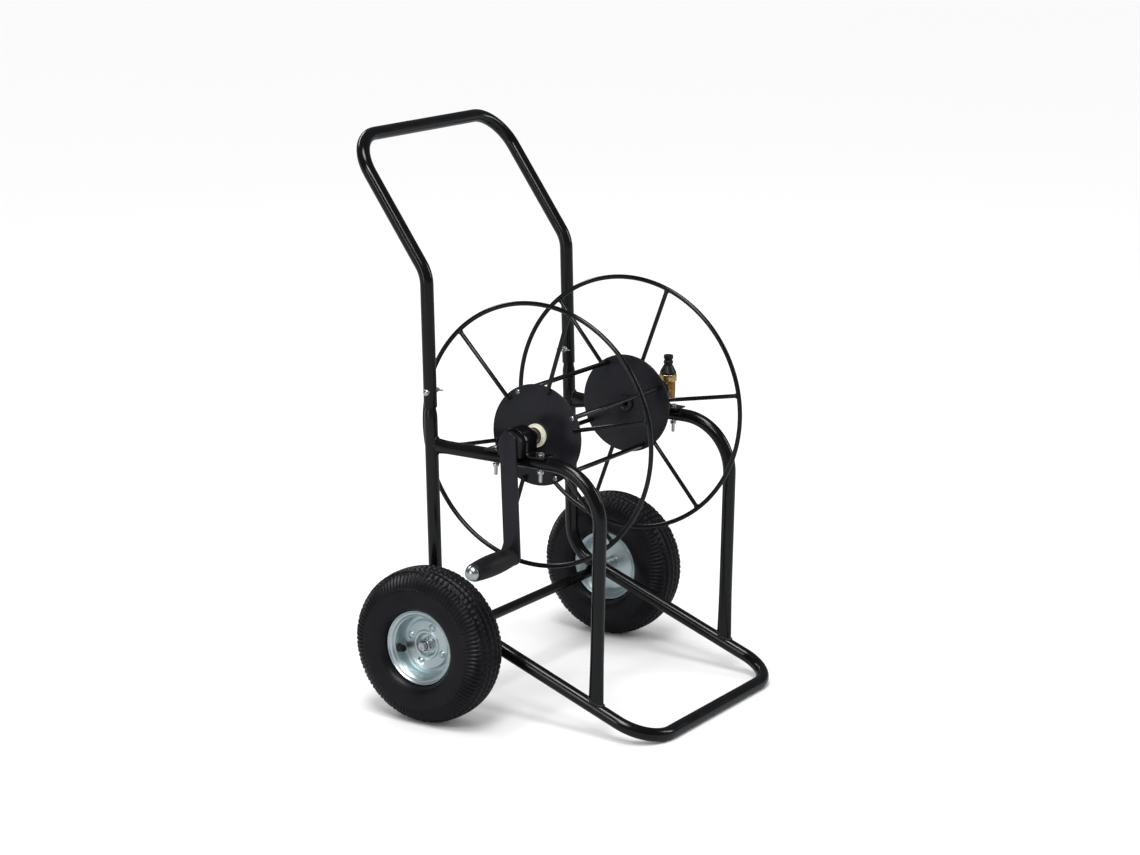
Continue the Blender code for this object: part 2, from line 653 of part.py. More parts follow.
def build_rim(name, side, wheel, zinc):
    """Two pressed rim halves. The outer one has a raised plate with bolt heads round a recess."""
    bore = AXLE_RADIUS + RUNNING_GAP + HUB_BUSH_WALL + GAP
    floor, seat = RIM_FLOOR, BEAD_RADIUS
    plate = floor + RIM_PLATE_RISE
    outer_line = [
        (floor, bore),
        (floor, HUB_RECESS_RADIUS - 2 * RIM_SHEET),
        (plate, HUB_RECESS_RADIUS),
        (plate, RIM_PLATE_RADIUS),
        (floor, RIM_PLATE_RADIUS + RIM_SHEET),
        (floor, seat - RIM_BEND),
        (floor + RIM_BEND, seat),
    ]
    outer_line += rim_lip_line()
    back = floor - 2 * RIM_SHEET - GAP
    inner_line = [(back, bore), (back, seat - RIM_BEND), (back - RIM_BEND, seat)]
    inner_line += [(-x, radius) for x, radius in rim_lip_line()]
    outer_section = sheet_section(outer_line, RIM_SHEET)
    inner_section = sheet_section(inner_line, -RIM_SHEET)
    outer = place("rim_outer_" + name, turned(mirrored_x(outer_section, side), WHEEL_STEPS), wheel, zinc)
    place("rim_inner_" + name, turned(mirrored_x(inner_section, side), WHEEL_STEPS), wheel, zinc)
    heads = bmesh.new()
    for index in range(RIM_BOLT_COUNT):
        at = polar(RIM_BOLT_CIRCLE, RIM_BOLT_FIRST_ANGLE + 360 * index / RIM_BOLT_COUNT)
        low = at + Vector((side * (plate - RIM_SHEET / 2), 0, 0))
        rod(low, at + Vector((side * (plate + RIM_BOLT_HEIGHT), 0, 0)), RIM_BOLT_RADIUS, 8, heads)
    join(outer, mesh_from(heads), wheel)
    cut(outer, mesh_from(rod(*valve_run(side), VALVE_RADIUS + BOLT_CLEARANCE)), wheel)


# Reel
def build_wire_wheel(name, x, first_angle, reel, finish):
    """A wire ring with spokes welded to it, whose inner ends lie on the disc."""
    ring = [
        (RING_WIRE_RADIUS * math.cos(a), RING_RADIUS + RING_WIRE_RADIUS * math.sin(a))
        for a in [math.tau * step / WIRE_SIDES for step in range(WIRE_SIDES)]
    ]
    wheel = place("wire_wheel_" + name, turned(ring, RING_STEPS), reel, finish, (x, 0, 0))
    spokes = bmesh.new()
    for index in range(SPOKE_COUNT):
        angle = first_angle + 360 * index / SPOKE_COUNT
        inner = polar(DISC_RADIUS - SPOKE_LAP, angle)
        rod(inner, polar(RING_RADIUS, angle), SPOKE_WIRE_RADIUS, WIRE_SIDES, spokes)
    join(wheel, mesh_from(spokes), reel, (x, 0, 0))


def bar_places():
    return [polar(BAR_CIRCLE, BAR_FIRST_ANGLE + 360 * index / BAR_COUNT) for index in range(BAR_COUNT)]


def build_disc(name, x, reel, finish):
    """A plain disc with a hole for the shaft and one for each bar's screw."""
    half = DISC_THICKNESS / 2
    bore = SHAFT_RADIUS + GAP
    profile = [(-half, bore), (-half, DISC_RADIUS), (half, DISC_RADIUS), (half, bore)]
    disc = place("disc_" + name, turned(profile, DISC_STEPS), reel, finish, (x, 0, 0))
    depth = Vector((DISC_THICKNESS, 0, 0))
    holes = rods([(at - depth, at + depth) for at in bar_places()], BAR_SCREW_RADIUS + BOLT_CLEARANCE)
    cut(disc, holes, reel, (x, 0, 0))


def build_bars(reel, finish, steel):
    """The bars between the discs, with a screw through each disc into each end."""
    left_face = LEFT_DISC_X + DISC_THICKNESS / 2
    right_face = RIGHT_DISC_X - DISC_THICKNESS / 2
    bore = BAR_SCREW_RADIUS + BOLT_CLEARANCE
    start, end = left_face + GAP, right_face - GAP
    profile = [(start, bore), (start, BAR_RADIUS), (end, BAR_RADIUS), (end, bore)]
    for number, at in enumerate(bar_places(), 1):
        place(f"crossbar_{number}", turned(profile, WIRE_SIDES), reel, finish, at)
        for name, face, inwards in (("left", left_face, 1), ("right", right_face, -1)):
            head = face - inwards * (DISC_THICKNESS + GAP)
            screw = turned(screw_profile(head, inwards), WIRE_SIDES, closed=False)
            place(f"crossbar_screw_{name}_{number}", screw, reel, steel, at)


def screw_profile(head, inwards):
    """A pan-head screw: its head stands outside its seat, and its shank runs inwards."""
    top = head - inwards * BAR_SCREW_HEAD_HEIGHT
    shoulder = head - inwards * BAR_SCREW_HEAD_HEIGHT * 0.4
    tip = head + inwards * BAR_SCREW_LENGTH
    return [
        (top, 0),
        (top, BAR_SCREW_HEAD_RADIUS * 0.6),
        (shoulder, BAR_SCREW_HEAD_RADIUS),
        (head, BAR_SCREW_HEAD_RADIUS),
        (head, BAR_SCREW_RADIUS),
        (tip, BAR_SCREW_RADIUS),
        (tip, 0),
    ]


def build_shafts(reel, finish, nylon):
    """The crank shaft on the left and the hollow inlet shaft on the right, each with a thrust ring."""
    bore = SHAFT_RADIUS - SHAFT_WALL
    inner = LEFT_DISC_X + DISC_THICKNESS / 2 + SHAFT_PROUD
    outer = CRANK_INNER_X + GAP
    profile = [(outer, bore), (outer, SHAFT_RADIUS), (inner, SHAFT_RADIUS), (inner, bore)]
    place("crank_shaft", turned(profile, SMALL_STEPS), reel, finish)
    inner = RIGHT_DISC_X - DISC_THICKNESS / 2 - SHAFT_PROUD
    shoulder = ELBOW_START_X - RUNNING_GAP
    spigot_bore = INLET_SPIGOT_RADIUS - INLET_SPIGOT_WALL
    profile = [
        (inner, bore),
        (inner, SHAFT_RADIUS),
        (shoulder, SHAFT_RADIUS),
        (shoulder, INLET_SPIGOT_RADIUS),
        (INLET_X - ELBOW_BORE, INLET_SPIGOT_RADIUS),
        (INLET_X - ELBOW_BORE, spigot_bore),
        (shoulder - 0.004, spigot_bore),
        (shoulder - 0.008, bore),
    ]
    place("inlet_shaft", turned(profile, SMALL_STEPS), reel, finish)
    for name, face, outwards in (
        ("left", LEFT_DISC_X - DISC_THICKNESS / 2, -1),
        ("right", RIGHT_DISC_X + DISC_THICKNESS / 2, 1),
    ):
        start = face + outwards * GAP
        end = start + outwards * THRUST_RING_LENGTH
        ring = [(start, SHAFT_RADIUS + GAP), (start, THRUST_RING_RADIUS)]
        ring += [(end, THRUST_RING_RADIUS), (end, SHAFT_RADIUS + GAP)]
        place("thrust_ring_" + name, turned(ring, WHEEL_STEPS), reel, nylon)


def build_bearing(name, side, parent, plastic):
    """A round-topped block that stands on the hoop, with the shaft's bore through it."""
    radius = SADDLE_ARCH_RADIUS - SADDLE_SHEET - GAP
    bottom = HOOP_TOP + GAP
    outline = arc((REEL_Y, REEL_Z), radius, 0, 180, 12)
    outline += [(REEL_Y - radius, bottom), (REEL_Y + radius, bottom)]
    outer_x = LEFT_BEARING_OUTER_X if side < 0 else RIGHT_BEARING_OUTER_X
    block = slab(outline, side * BEARING_INNER_X, side * outer_x)
    bearing = place("bearing_" + name, block, parent, plastic)
    start = Vector((side * (BEARING_INNER_X - 0.005), REEL_Y, REEL_Z))
    end = Vector((side * (outer_x + 0.005), REEL_Y, REEL_Z))
    cut(bearing, mesh_from(rod(start, end, SHAFT_RADIUS + RUNNING_GAP, 2 * SMALL_STEPS)), parent)


def build_saddle(name, side, parent, finish):
    """A bent strap that arches over the bearing, with a foot at each end bolted to the hoop."""
    middle_x = side * FRAME_HALF_WIDTH
    y, z = REEL_Y, REEL_Z
    foot = HOOP_TOP + GAP
    top_of_foot = foot + SADDLE_SHEET
    inner_radius = SADDLE_ARCH_RADIUS - SADDLE_SHEET
    corner = (SADDLE_ARCH_RADIUS + SADDLE_FILLET, top_of_foot + SADDLE_FILLET)
    right = [(y + SADDLE_REACH, foot), (y + SADDLE_REACH, top_of_foot)]
    right += arc((y + corner[0], corner[1]), SADDLE_FILLET, 270, 180, 3)
    left = [(2 * y - py, pz) for py, pz in reversed(right)]
    over = arc((y, z), SADDLE_ARCH_RADIUS, 0, 180, 12)
    under = arc((y, z), inner_radius, 180, 0, 12)
    inside = [(y - inner_radius, foot)] + under + [(y + inner_radius, foot)]
    outline = right + over + left + inside
    half = SADDLE_WIDTH / 2
    saddle = place("saddle_" + name, slab(outline, middle_x - half, middle_x + half), parent, finish)
    cut(saddle, saddle_bolt_holes(middle_x, HOOP_HEIGHT), parent)


def build_saddle_bolts(name, side, parent, zinc):
    """A bolt at each foot of a saddle, down through the hoop, with its nut below."""
    low = HOOP_HEIGHT - TUBE_RADIUS - GAP
    seat = HOOP_TOP + GAP + SADDLE_SHEET + GAP
    head = SADDLE_BOLT_HEAD_HEIGHT
    radius = SADDLE_BOLT_HEAD_RADIUS
    profile = [(low - SADDLE_BOLT_TAIL, 0), (low - SADDLE_BOLT_TAIL, SADDLE_BOLT_RADIUS)]
    profile += [(seat, SADDLE_BOLT_RADIUS), (seat, radius), (seat + head * 0.5, radius)]
    profile += [(seat + head, radius * 0.6), (seat + head, 0)]
    for place_name, offset in (("front", -SADDLE_BOLT_SPACING), ("rear", SADDLE_BOLT_SPACING)):
        at = (side * FRAME_HALF_WIDTH, REEL_Y + offset, 0)
        bolt = turned(profile, SMALL_STEPS, closed=False, axis="Z")
        place(f"saddle_bolt_{name}_{place_name}", bolt, parent, zinc, at)
        nut = hex_nut(NUT_FLATS, NUT_THICKNESS, SADDLE_BOLT_RADIUS + GAP, low, -1, "Z")
        place(f"saddle_nut_{name}_{place_name}", nut, parent, zinc, at)


# Crank
def build_crank(reel, finish, zinc, rubber):
    """The flat arm on the shaft's end, its pin, and the grip that turns on the pin."""
    pin_at = polar(CRANK_THROW, CRANK_REST_ANGLE - 90)
    outline = arc((0, CRANK_TOP_MARGIN), CRANK_HALF_WIDTH, 0, 180, 8)
    outline += arc((0, -CRANK_THROW), CRANK_HALF_WIDTH, 180, 360, 8)
    mesh = slab(outline, CRANK_OUTER_X, CRANK_INNER_X)
    mesh.transform(Matrix.Rotation(-math.radians(CRANK_REST_ANGLE), 4, "X"))
    arm = place("crank_arm", mesh, reel, finish)
    hole = rod(
        pin_at + Vector((CRANK_OUTER_X - 0.005, 0, 0)),
        pin_at + Vector((CRANK_INNER_X + 0.005, 0, 0)),
        PIN_RADIUS + GAP,
        SMALL_STEPS,
    )
    cut(arm, mesh_from(hole), reel)
    grip_end = CRANK_OUTER_X - RUNNING_GAP - GRIP_LENGTH
    cap_start = grip_end - RUNNING_GAP
    cap_end = cap_start - CAP_LENGTH
    back = CRANK_INNER_X + GAP
    pin = [
        (cap_end, 0),
        (cap_end + CAP_LENGTH * 0.08, CAP_RADIUS * 0.45),
        (cap_end + CAP_LENGTH * 0.35, CAP_RADIUS * 0.85),
        (cap_end + CAP_LENGTH * 0.75, CAP_RADIUS),
        (cap_start, CAP_RADIUS),
        (cap_start, PIN_RADIUS),
        (back, PIN_RADIUS),
        (back, PIN_HEAD_RADIUS),
        (back + PIN_HEAD_HEIGHT, PIN_HEAD_RADIUS),
        (back + PIN_HEAD_HEIGHT, 0),
    ]
    place("grip_pin", turned(pin, SMALL_STEPS, closed=False), reel, zinc, pin_at)
    grip_body = body("grip", reel, pin_at)
    swell = GRIP_MIDDLE_RADIUS - GRIP_END_RADIUS
    outer = []
    for step in range(7):
        share = step / 6
        x = CRANK_OUTER_X - RUNNING_GAP - GRIP_LENGTH * share
        outer.append((x, GRIP_END_RADIUS + swell * math.sin(math.pi * share) ** 0.8))
    bore = PIN_RADIUS + RUNNING_GAP
    profile = [(outer[0][0], bore)] + outer + [(grip_end, bore)]
    place("grip_sleeve", turned(profile, SMALL_STEPS), grip_body, rubber)


# Water inlet
def build_inlet(parent, brass, plastic):
    """The elbow that turns on the inlet shaft, its collar, and the hose connector on top."""
    inlet = body("inlet", parent, (INLET_X, REEL_Y, REEL_Z))
    upright = rod((0, 0, -ELBOW_DROP), (0, 0, ELBOW_RISE), ELBOW_RADIUS, 8)
    elbow = place("inlet_elbow", mesh_from(upright), inlet, brass)
    socket = rod((ELBOW_START_X - INLET_X, 0, 0), (ELBOW_RADIUS / 3, 0, 0), ELBOW_SOCKET_RADIUS, 8)
    join(elbow, mesh_from(socket), inlet)
    shaft_hole = rod(
        (ELBOW_START_X - INLET_X - 0.005, 0, 0), (0, 0, 0), INLET_SPIGOT_RADIUS + RUNNING_GAP, SMALL_STEPS
    )
    cut(elbow, mesh_from(shaft_hole), inlet)
    water_hole = rod((0, 0, -0.001), (0, 0, ELBOW_RISE + 0.005), ELBOW_BORE, SMALL_STEPS)
    cut(elbow, mesh_from(water_hole), inlet)
    collar_low = ELBOW_RISE + GAP
    collar_top = collar_low + COLLAR_HEIGHT
    collar = hex_nut(COLLAR_RADIUS * math.sqrt(3), COLLAR_HEIGHT, COLLAR_BORE, collar_low, 1, "Z")
    place("inlet_collar", collar, inlet, brass)
    place("hose_connector", turned(connector_profile(collar_top), SMALL_STEPS, axis="Z"), inlet, plastic)


def connector_profile(collar_top):
    """The push-on hose connector: a stem into the collar, a base ring, a cone, a neck and a ridged tip."""
    base = collar_top + GAP
    top = base + CONNECTOR_HEIGHT
    share = CONNECTOR_HEIGHT / 10
    return [
        (collar_top - COLLAR_HEIGHT * 0.7, CONNECTOR_BORE),
        (collar_top - COLLAR_HEIGHT * 0.7, COLLAR_BORE - GAP),
        (base, COLLAR_BORE - GAP),
        (base, CONNECTOR_BASE_RADIUS),
        (base + share * 1.2, CONNECTOR_BASE_RADIUS),
        (base + share * 4.6, CONNECTOR_NECK_RADIUS),
        (base + share * 5.6, CONNECTOR_NECK_RADIUS),
        (base + share * 6.0, CONNECTOR_TIP_RADIUS),
        (base + share * 7.3, CONNECTOR_TIP_RADIUS),
        (base + share * 7.6, CONNECTOR_NECK_RADIUS),
        (base + share * 8.1, CONNECTOR_NECK_RADIUS),
        (base + share * 8.5, CONNECTOR_TIP_RADIUS),
        (top, CONNECTOR_TIP_RADIUS),
        (top, CONNECTOR_BORE),
    ]


# Handle bolts
def build_handle_bolt(name, side, parent, zinc):
    """The bolt that holds the handle on an upright, and its wing nut on the inside of the cart."""
    at = Vector((side * FRAME_HALF_WIDTH, upright_y(HANDLE_BOLT_Z), HANDLE_BOLT_Z))
    seat = TUBE_RADIUS + GAP
    radius = HANDLE_BOLT_HEAD_RADIUS
    head = HANDLE_BOLT_HEAD_HEIGHT
    profile = [(seat + head, 0), (seat + head, radius * 0.5), (seat + head * 0.5, radius)]
    profile += [(seat, radius), (seat, HANDLE_BOLT_RADIUS)]
    profile += [(-seat - HANDLE_BOLT_TAIL, HANDLE_BOLT_RADIUS), (-seat - HANDLE_BOLT_TAIL, 0)]
    bolt = turned(mirrored_x(profile, side), SMALL_STEPS, closed=False)
    place("handle_bolt_" + name, bolt, parent, zinc, at)
    wing = body("wing_" + name, parent, at)
    build_wing_nut("wing_nut_" + name, side, wing, zinc)


def build_wing_nut(name, side, wing, zinc):
    """A hub with two flat wings, which turns on the bolt."""
    start = -TUBE_RADIUS - RUNNING_GAP
    end = start - WING_HUB_LENGTH
    bore = HANDLE_BOLT_RADIUS + RUNNING_GAP
    hub = [(start, bore), (start, WING_HUB_RADIUS), (end, WING_HUB_RADIUS * 0.85), (end, bore)]
    nut = place(name, turned(mirrored_x(hub, side), SMALL_STEPS), wing, zinc)
    wings = bmesh.new()
    for direction in (-1, 1):
        inner = direction * (bore + 0.0013)
        outer = direction * WING_SPAN
        made = bmesh.ops.create_cube(wings, size=1)
        middle = Vector((side * (end + WING_HUB_LENGTH / 4 - WING_LENGTH / 4), (inner + outer) / 2, 0))
        bmesh.ops.scale(wings, verts=made["verts"], vec=(WING_LENGTH, abs(outer - inner), WING_THICKNESS))
        lean = Matrix.Rotation(math.radians(WING_LEAN) * direction * side, 3, "Z")
        bmesh.ops.rotate(wings, verts=made["verts"], matrix=lean)
        bmesh.ops.translate(wings, verts=made["verts"], vec=middle)
    join(nut, mesh_from(wings), wing)


def centre_on_ground(cart):
    """Moves the whole cart so that the origin is on the ground, under the middle of its box."""
    bpy.context.view_layer.update()
    graph = bpy.context.evaluated_depsgraph_get()
    corners = []
    for piece in bpy.data.objects:
        if piece.type == "MESH" and not piece.hide_render:
            seen = piece.evaluated_get(graph)
            corners += [seen.matrix_world @ vertex.co for vertex in seen.data.vertices]
    low = Vector([min(corner[axis] for corner in corners) for axis in range(3)])
    high = Vector([max(corner[axis] for corner in corners) for axis in range(3)])
    middle = (low + high) / 2
    cart.location = (-middle.x, -middle.y, -low.z)


def main():
    for old in list(bpy.data.objects):
        bpy.data.objects.remove(old)
    paint = material("gloss_black_paint", (0.012, 0.012, 0.013), 0.22)
    satin = material("satin_charcoal_paint", (0.032, 0.033, 0.037), 0.42)
    zinc = material("zinc_plated_steel", (0.60, 0.64, 0.65), 0.28, 1.0)
    steel = material("bright_steel", (0.55, 0.55, 0.54), 0.30, 1.0)
    tyre_rubber = material("tyre_rubber", (0.014, 0.014, 0.016), 0.65)
    grip_rubber = material("grip_rubber", (0.016, 0.016, 0.017), 0.60)
    plastic = material("black_plastic", (0.015, 0.015, 0.016), 0.38)
    nylon = material("cream_nylon", (0.70, 0.68, 0.58), 0.45)
    brass = material("brass", (0.62, 0.42, 0.14), 0.30, 1.0)

    cart = body("cart")
    build_lower_frame(cart, paint)
    build_handle(cart, paint)
    build_axle_tube(cart, paint)
    build_axle(cart, zinc)
    reel = body("reel", cart, (0, REEL_Y, REEL_Z))
    for name, side in SIDES:
        build_hoop("hoop_" + name, side, cart, paint)
        build_bearing(name, side, cart, plastic)
        build_saddle(name, side, cart, paint)
        build_saddle_bolts(name, side, cart, zinc)
        build_handle_bolt(name, side, cart, zinc)
        build_wheel(name, side, cart, tyre_rubber, zinc, steel)
    build_wire_wheel("left", REEL_LEFT_X, LEFT_SPOKE_ANGLE, reel, paint)
    build_wire_wheel("right", REEL_RIGHT_X, RIGHT_SPOKE_ANGLE, reel, paint)
    build_disc("left", LEFT_DISC_X, reel, satin)
    build_disc("right", RIGHT_DISC_X, reel, satin)
    build_bars(reel, paint, zinc)
    build_shafts(reel, paint, nylon)
    build_crank(reel, satin, zinc, grip_rubber)
    build_inlet(cart, brass, plastic)
    centre_on_ground(cart)


main()
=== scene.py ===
# %% [markdown]
# # A garden hose reel cart
# Two air-filled wheels carry a bent-tube cart. Two hoops hold a wire reel, a crank turns it, and water comes in
# through a swivelling brass elbow. The plain model of the cart is loaded first. It says where each piece is and
# what turns with what, so every place below is read from it and only the fine shapes and finishes are added here.

# %% Load the plain model
import json
import math

import bmesh
import bpy
from mathutils import Matrix, Vector


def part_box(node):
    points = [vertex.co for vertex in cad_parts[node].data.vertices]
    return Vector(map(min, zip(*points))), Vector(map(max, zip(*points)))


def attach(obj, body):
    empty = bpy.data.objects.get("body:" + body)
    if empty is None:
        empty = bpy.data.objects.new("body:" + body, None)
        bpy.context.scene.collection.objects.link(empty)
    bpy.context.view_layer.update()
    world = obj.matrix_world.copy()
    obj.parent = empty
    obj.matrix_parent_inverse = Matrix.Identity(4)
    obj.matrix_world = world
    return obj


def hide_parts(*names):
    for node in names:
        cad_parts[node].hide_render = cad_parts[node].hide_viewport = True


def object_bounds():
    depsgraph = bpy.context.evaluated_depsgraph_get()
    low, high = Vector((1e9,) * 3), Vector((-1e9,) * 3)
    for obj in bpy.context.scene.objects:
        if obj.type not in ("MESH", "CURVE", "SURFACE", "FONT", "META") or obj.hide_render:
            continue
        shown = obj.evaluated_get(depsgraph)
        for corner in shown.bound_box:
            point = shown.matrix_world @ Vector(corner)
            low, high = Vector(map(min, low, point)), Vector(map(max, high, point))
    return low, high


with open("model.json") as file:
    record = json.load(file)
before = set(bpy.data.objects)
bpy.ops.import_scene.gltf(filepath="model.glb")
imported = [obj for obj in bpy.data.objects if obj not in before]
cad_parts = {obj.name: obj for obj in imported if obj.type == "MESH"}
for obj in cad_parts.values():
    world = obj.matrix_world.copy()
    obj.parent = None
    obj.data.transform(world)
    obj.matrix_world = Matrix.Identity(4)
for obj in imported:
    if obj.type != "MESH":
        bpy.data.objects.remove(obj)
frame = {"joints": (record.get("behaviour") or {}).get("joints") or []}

cad_low, cad_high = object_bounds()
print("the plain model is", [round(side, 3) for side in cad_high - cad_low], "metres")

# %% [markdown]
# ## Places
# A turning piece is placed from its joint, and a fixed one from its own box. X runs across the cart, from the
# crank on the left to the water inlet on the right, Y runs back from the nose to the handle, and Z is up.

# %% Read the places
joints = {joint["name"]: joint for joint in frame["joints"]}
SIDES = (("left", -1), ("right", 1))


def joint_place(name):
    return Vector(joints[name]["pos_m"])


def middle(node):
    low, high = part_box(node)
    return (low + high) / 2


def extent(node):
    low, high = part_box(node)
    return high - low


reel_axis = joint_place("reel_spin")
grip_axis = joint_place("grip_spin")
inlet_axis = joint_place("inlet_swivel")
wheel_axis = {name: joint_place(f"wheel_{name}_spin") for name, _ in SIDES}
wing_axis = {name: joint_place(f"wing_{name}_turn") for name, _ in SIDES}
ground_axle = Vector((0, wheel_axis["left"].y, wheel_axis["left"].z))
tube_radius = extent("hoop_left").x / 2
print("tube", round(tube_radius * 2000, 1), "mm, reel axis at", [round(v, 3) for v in reel_axis])

# %% [markdown]
# ## Finishes
# Real surfaces are never one flat value. Each finish here drifts a little in colour and gloss and has a fine
# bump: the orange peel of paint, the grain of moulded rubber, the dull patches of zinc. One node group does all
# three from noise in the object's own coordinates, and each material gives it its own sizes.

# %% Build the shared surface group
def group_socket(tree, name, way, kind, value=None):
    socket = tree.interface.new_socket(name=name, in_out=way, socket_type=kind)
    if value is not None:
        socket.default_value = value


def build_surface_group():
    tree = bpy.data.node_groups.new("surface_detail", "ShaderNodeTree")
    group_socket(tree, "Colour", "INPUT", "NodeSocketColor", (0.5, 0.5, 0.5, 1))
    group_socket(tree, "Drift Colour", "INPUT", "NodeSocketColor", (0.5, 0.5, 0.5, 1))
    group_socket(tree, "Drift Scale", "INPUT", "NodeSocketFloat", 30)
    group_socket(tree, "Roughness", "INPUT", "NodeSocketFloat", 0.4)
    group_socket(tree, "Roughness Spread", "INPUT", "NodeSocketFloat", 0.1)
    group_socket(tree, "Grain Scale", "INPUT", "NodeSocketFloat", 900)
    group_socket(tree, "Grain Height", "INPUT", "NodeSocketFloat", 0.00002)
    group_socket(tree, "Color", "OUTPUT", "NodeSocketColor")
    group_socket(tree, "Roughness", "OUTPUT", "NodeSocketFloat")
    group_socket(tree, "Normal", "OUTPUT", "NodeSocketVector")
    nodes, links = tree.nodes, tree.links
    given, made = nodes.new("NodeGroupInput"), nodes.new("NodeGroupOutput")
    place = nodes.new("ShaderNodeTexCoord")
    drift = nodes.new("ShaderNodeTexNoise")
    drift.inputs["Detail"].default_value = 4
    links.new(place.outputs["Object"], drift.inputs["Vector"])
    links.new(given.outputs["Drift Scale"], drift.inputs["Scale"])
    ramp = nodes.new("ShaderNodeMapRange")
    ramp.inputs["From Min"].default_value = 0.35
    ramp.inputs["From Max"].default_value = 0.68
    links.new(drift.outputs["Fac"], ramp.inputs["Value"])
    mix = nodes.new("ShaderNodeMix")
    mix.data_type = "RGBA"
    links.new(ramp.outputs["Result"], mix.inputs["Factor"])
    links.new(given.outputs["Colour"], mix.inputs["A"])
    links.new(given.outputs["Drift Colour"], mix.inputs["B"])
    links.new(mix.outputs["Result"], made.inputs["Color"])
    spread = nodes.new("ShaderNodeMath")
    spread.operation = "MULTIPLY_ADD"
    links.new(ramp.outputs["Result"], spread.inputs[0])
    links.new(given.outputs["Roughness Spread"], spread.inputs[1])
    links.new(given.outputs["Roughness"], spread.inputs[2])
    links.new(spread.outputs["Value"], made.inputs["Roughness"])
    grain = nodes.new("ShaderNodeTexNoise")
    grain.inputs["Detail"].default_value = 3
    links.new(place.outputs["Object"], grain.inputs["Vector"])
    links.new(given.outputs["Grain Scale"], grain.inputs["Scale"])
    bump = nodes.new("ShaderNodeBump")
    bump.inputs["Strength"].default_value = 1
    links.new(given.outputs["Grain Height"], bump.inputs["Distance"])
    links.new(grain.outputs["Fac"], bump.inputs["Height"])
    links.new(bump.outputs["Normal"], made.inputs["Normal"])
    return tree


surface_group = build_surface_group()


def new_finish(name, colour, drift_colour, rough, grain, metallic=0.0, shine=0.5, drift_scale=30):
    """A Principled material fed by the surface group. rough and grain are pairs: value, spread; scale, height."""
    made = bpy.data.materials.new(name)
    made.use_nodes = True
    nodes, links = made.node_tree.nodes, made.node_tree.links
    shader = nodes["Principled BSDF"]
    shader.inputs["Metallic"].default_value = metallic
    shader.inputs["Specular IOR Level"].default_value = shine
    detail = nodes.new("ShaderNodeGroup")
    detail.name = "detail"
    detail.node_tree = surface_group
    detail.inputs["Colour"].default_value = (*colour, 1)
    detail.inputs["Drift Colour"].default_value = (*drift_colour, 1)
    detail.inputs["Drift Scale"].default_value = drift_scale
    detail.inputs["Roughness"].default_value = rough[0]
    detail.inputs["Roughness Spread"].default_value = rough[1]
    detail.inputs["Grain Scale"].default_value = grain[0]
    detail.inputs["Grain Height"].default_value = grain[1]
    links.new(detail.outputs["Color"], shader.inputs["Base Color"])
    links.new(detail.outputs["Roughness"], shader.inputs["Roughness"])
    links.new(detail.outputs["Normal"], shader.inputs["Normal"])
    return made


# %% [markdown]
# The tubes are dipped in a gloss black enamel, which is nearly pure black and clear on top. The discs and the
# crank are a flatter charcoal. The fixings are bright zinc, the wheel rims a bluer one, and the inlet is brass.

# %% Make the paints and metals
gloss_paint = new_finish(
    "gloss_black_enamel", (0.0020, 0.0020, 0.0023), (0.0034, 0.0034, 0.0038),
    (0.13, 0.10), (420, 0.00003), shine=0.42,
)
weld_paint = new_finish(
    "enamel_over_welds", (0.003, 0.003, 0.0035), (0.007, 0.007, 0.008),
    (0.20, 0.2), (900, 0.00008), shine=0.5,
)
charcoal_paint = new_finish(
    "satin_charcoal_paint", (0.0095, 0.0095, 0.0125), (0.0125, 0.0125, 0.0160),
    (0.20, 0.08), (1400, 0.00001), shine=0.3,
)
bright_zinc = new_finish(
    "bright_zinc", (0.74, 0.76, 0.76), (0.60, 0.62, 0.63),
    (0.2, 0.12), (1600, 0.000004), metallic=1, drift_scale=90,
)
blue_zinc = new_finish(
    "blue_white_zinc", (0.76, 0.85, 0.87), (0.67, 0.78, 0.81),
    (0.33, 0.10), (500, 0.000004), metallic=1, drift_scale=28,
)
cast_zinc = new_finish(
    "cast_zinc", (0.52, 0.54, 0.54), (0.40, 0.41, 0.42),
    (0.38, 0.2), (1500, 0.00004), metallic=1, drift_scale=200,
)
brass = new_finish(
    "turned_brass", (0.80, 0.58, 0.27), (0.66, 0.43, 0.15),
    (0.22, 0.12), (1300, 0.000006), metallic=1, drift_scale=70,
)
aged_brass = new_finish(
    "forged_brass", (0.46, 0.27, 0.08), (0.34, 0.18, 0.05),
    (0.28, 0.12), (1100, 0.00002), metallic=1, drift_scale=70,
)

# %% [markdown]
# Rubber scatters light from a fine moulded grain, so its bump is coarse and its gloss low. Plastic sits between
# rubber and paint, and the nylon ring is a cream white that darkens slightly in patches.

# %% Make the rubbers and plastics
tyre_rubber = new_finish(
    "tyre_rubber", (0.0040, 0.0040, 0.0052), (0.0070, 0.0070, 0.0088),
    (0.28, 0.12), (1500, 0.00004), shine=0.22, drift_scale=22,
)
grip_rubber = new_finish(
    "grip_rubber", (0.006, 0.006, 0.007), (0.010, 0.010, 0.011),
    (0.46, 0.1), (2600, 0.00007), shine=0.3, drift_scale=60,
)
black_plastic = new_finish(
    "black_plastic", (0.004, 0.004, 0.005), (0.008, 0.008, 0.009),
    (0.32, 0.12), (2200, 0.00003), shine=0.36, drift_scale=80,
)
cream_nylon = new_finish(
    "cream_nylon", (0.80, 0.77, 0.64), (0.66, 0.62, 0.49),
    (0.34, 0.12), (1500, 0.00003), drift_scale=110,
)

# %% [markdown]
# ## Shaping tools
# Three ways of shaping cover most of the cart. A round piece is a half profile turned on its axis. A tube is a
# ring that is pushed along straight runs and spun round the middle of each bend. A plate is an outline that is
# pushed out. Every finished piece then has its corners rounded, because real edges catch the light.

# %% Define how a piece is finished
WELD_DISTANCE = 1e-6  # points nearer than this are one point


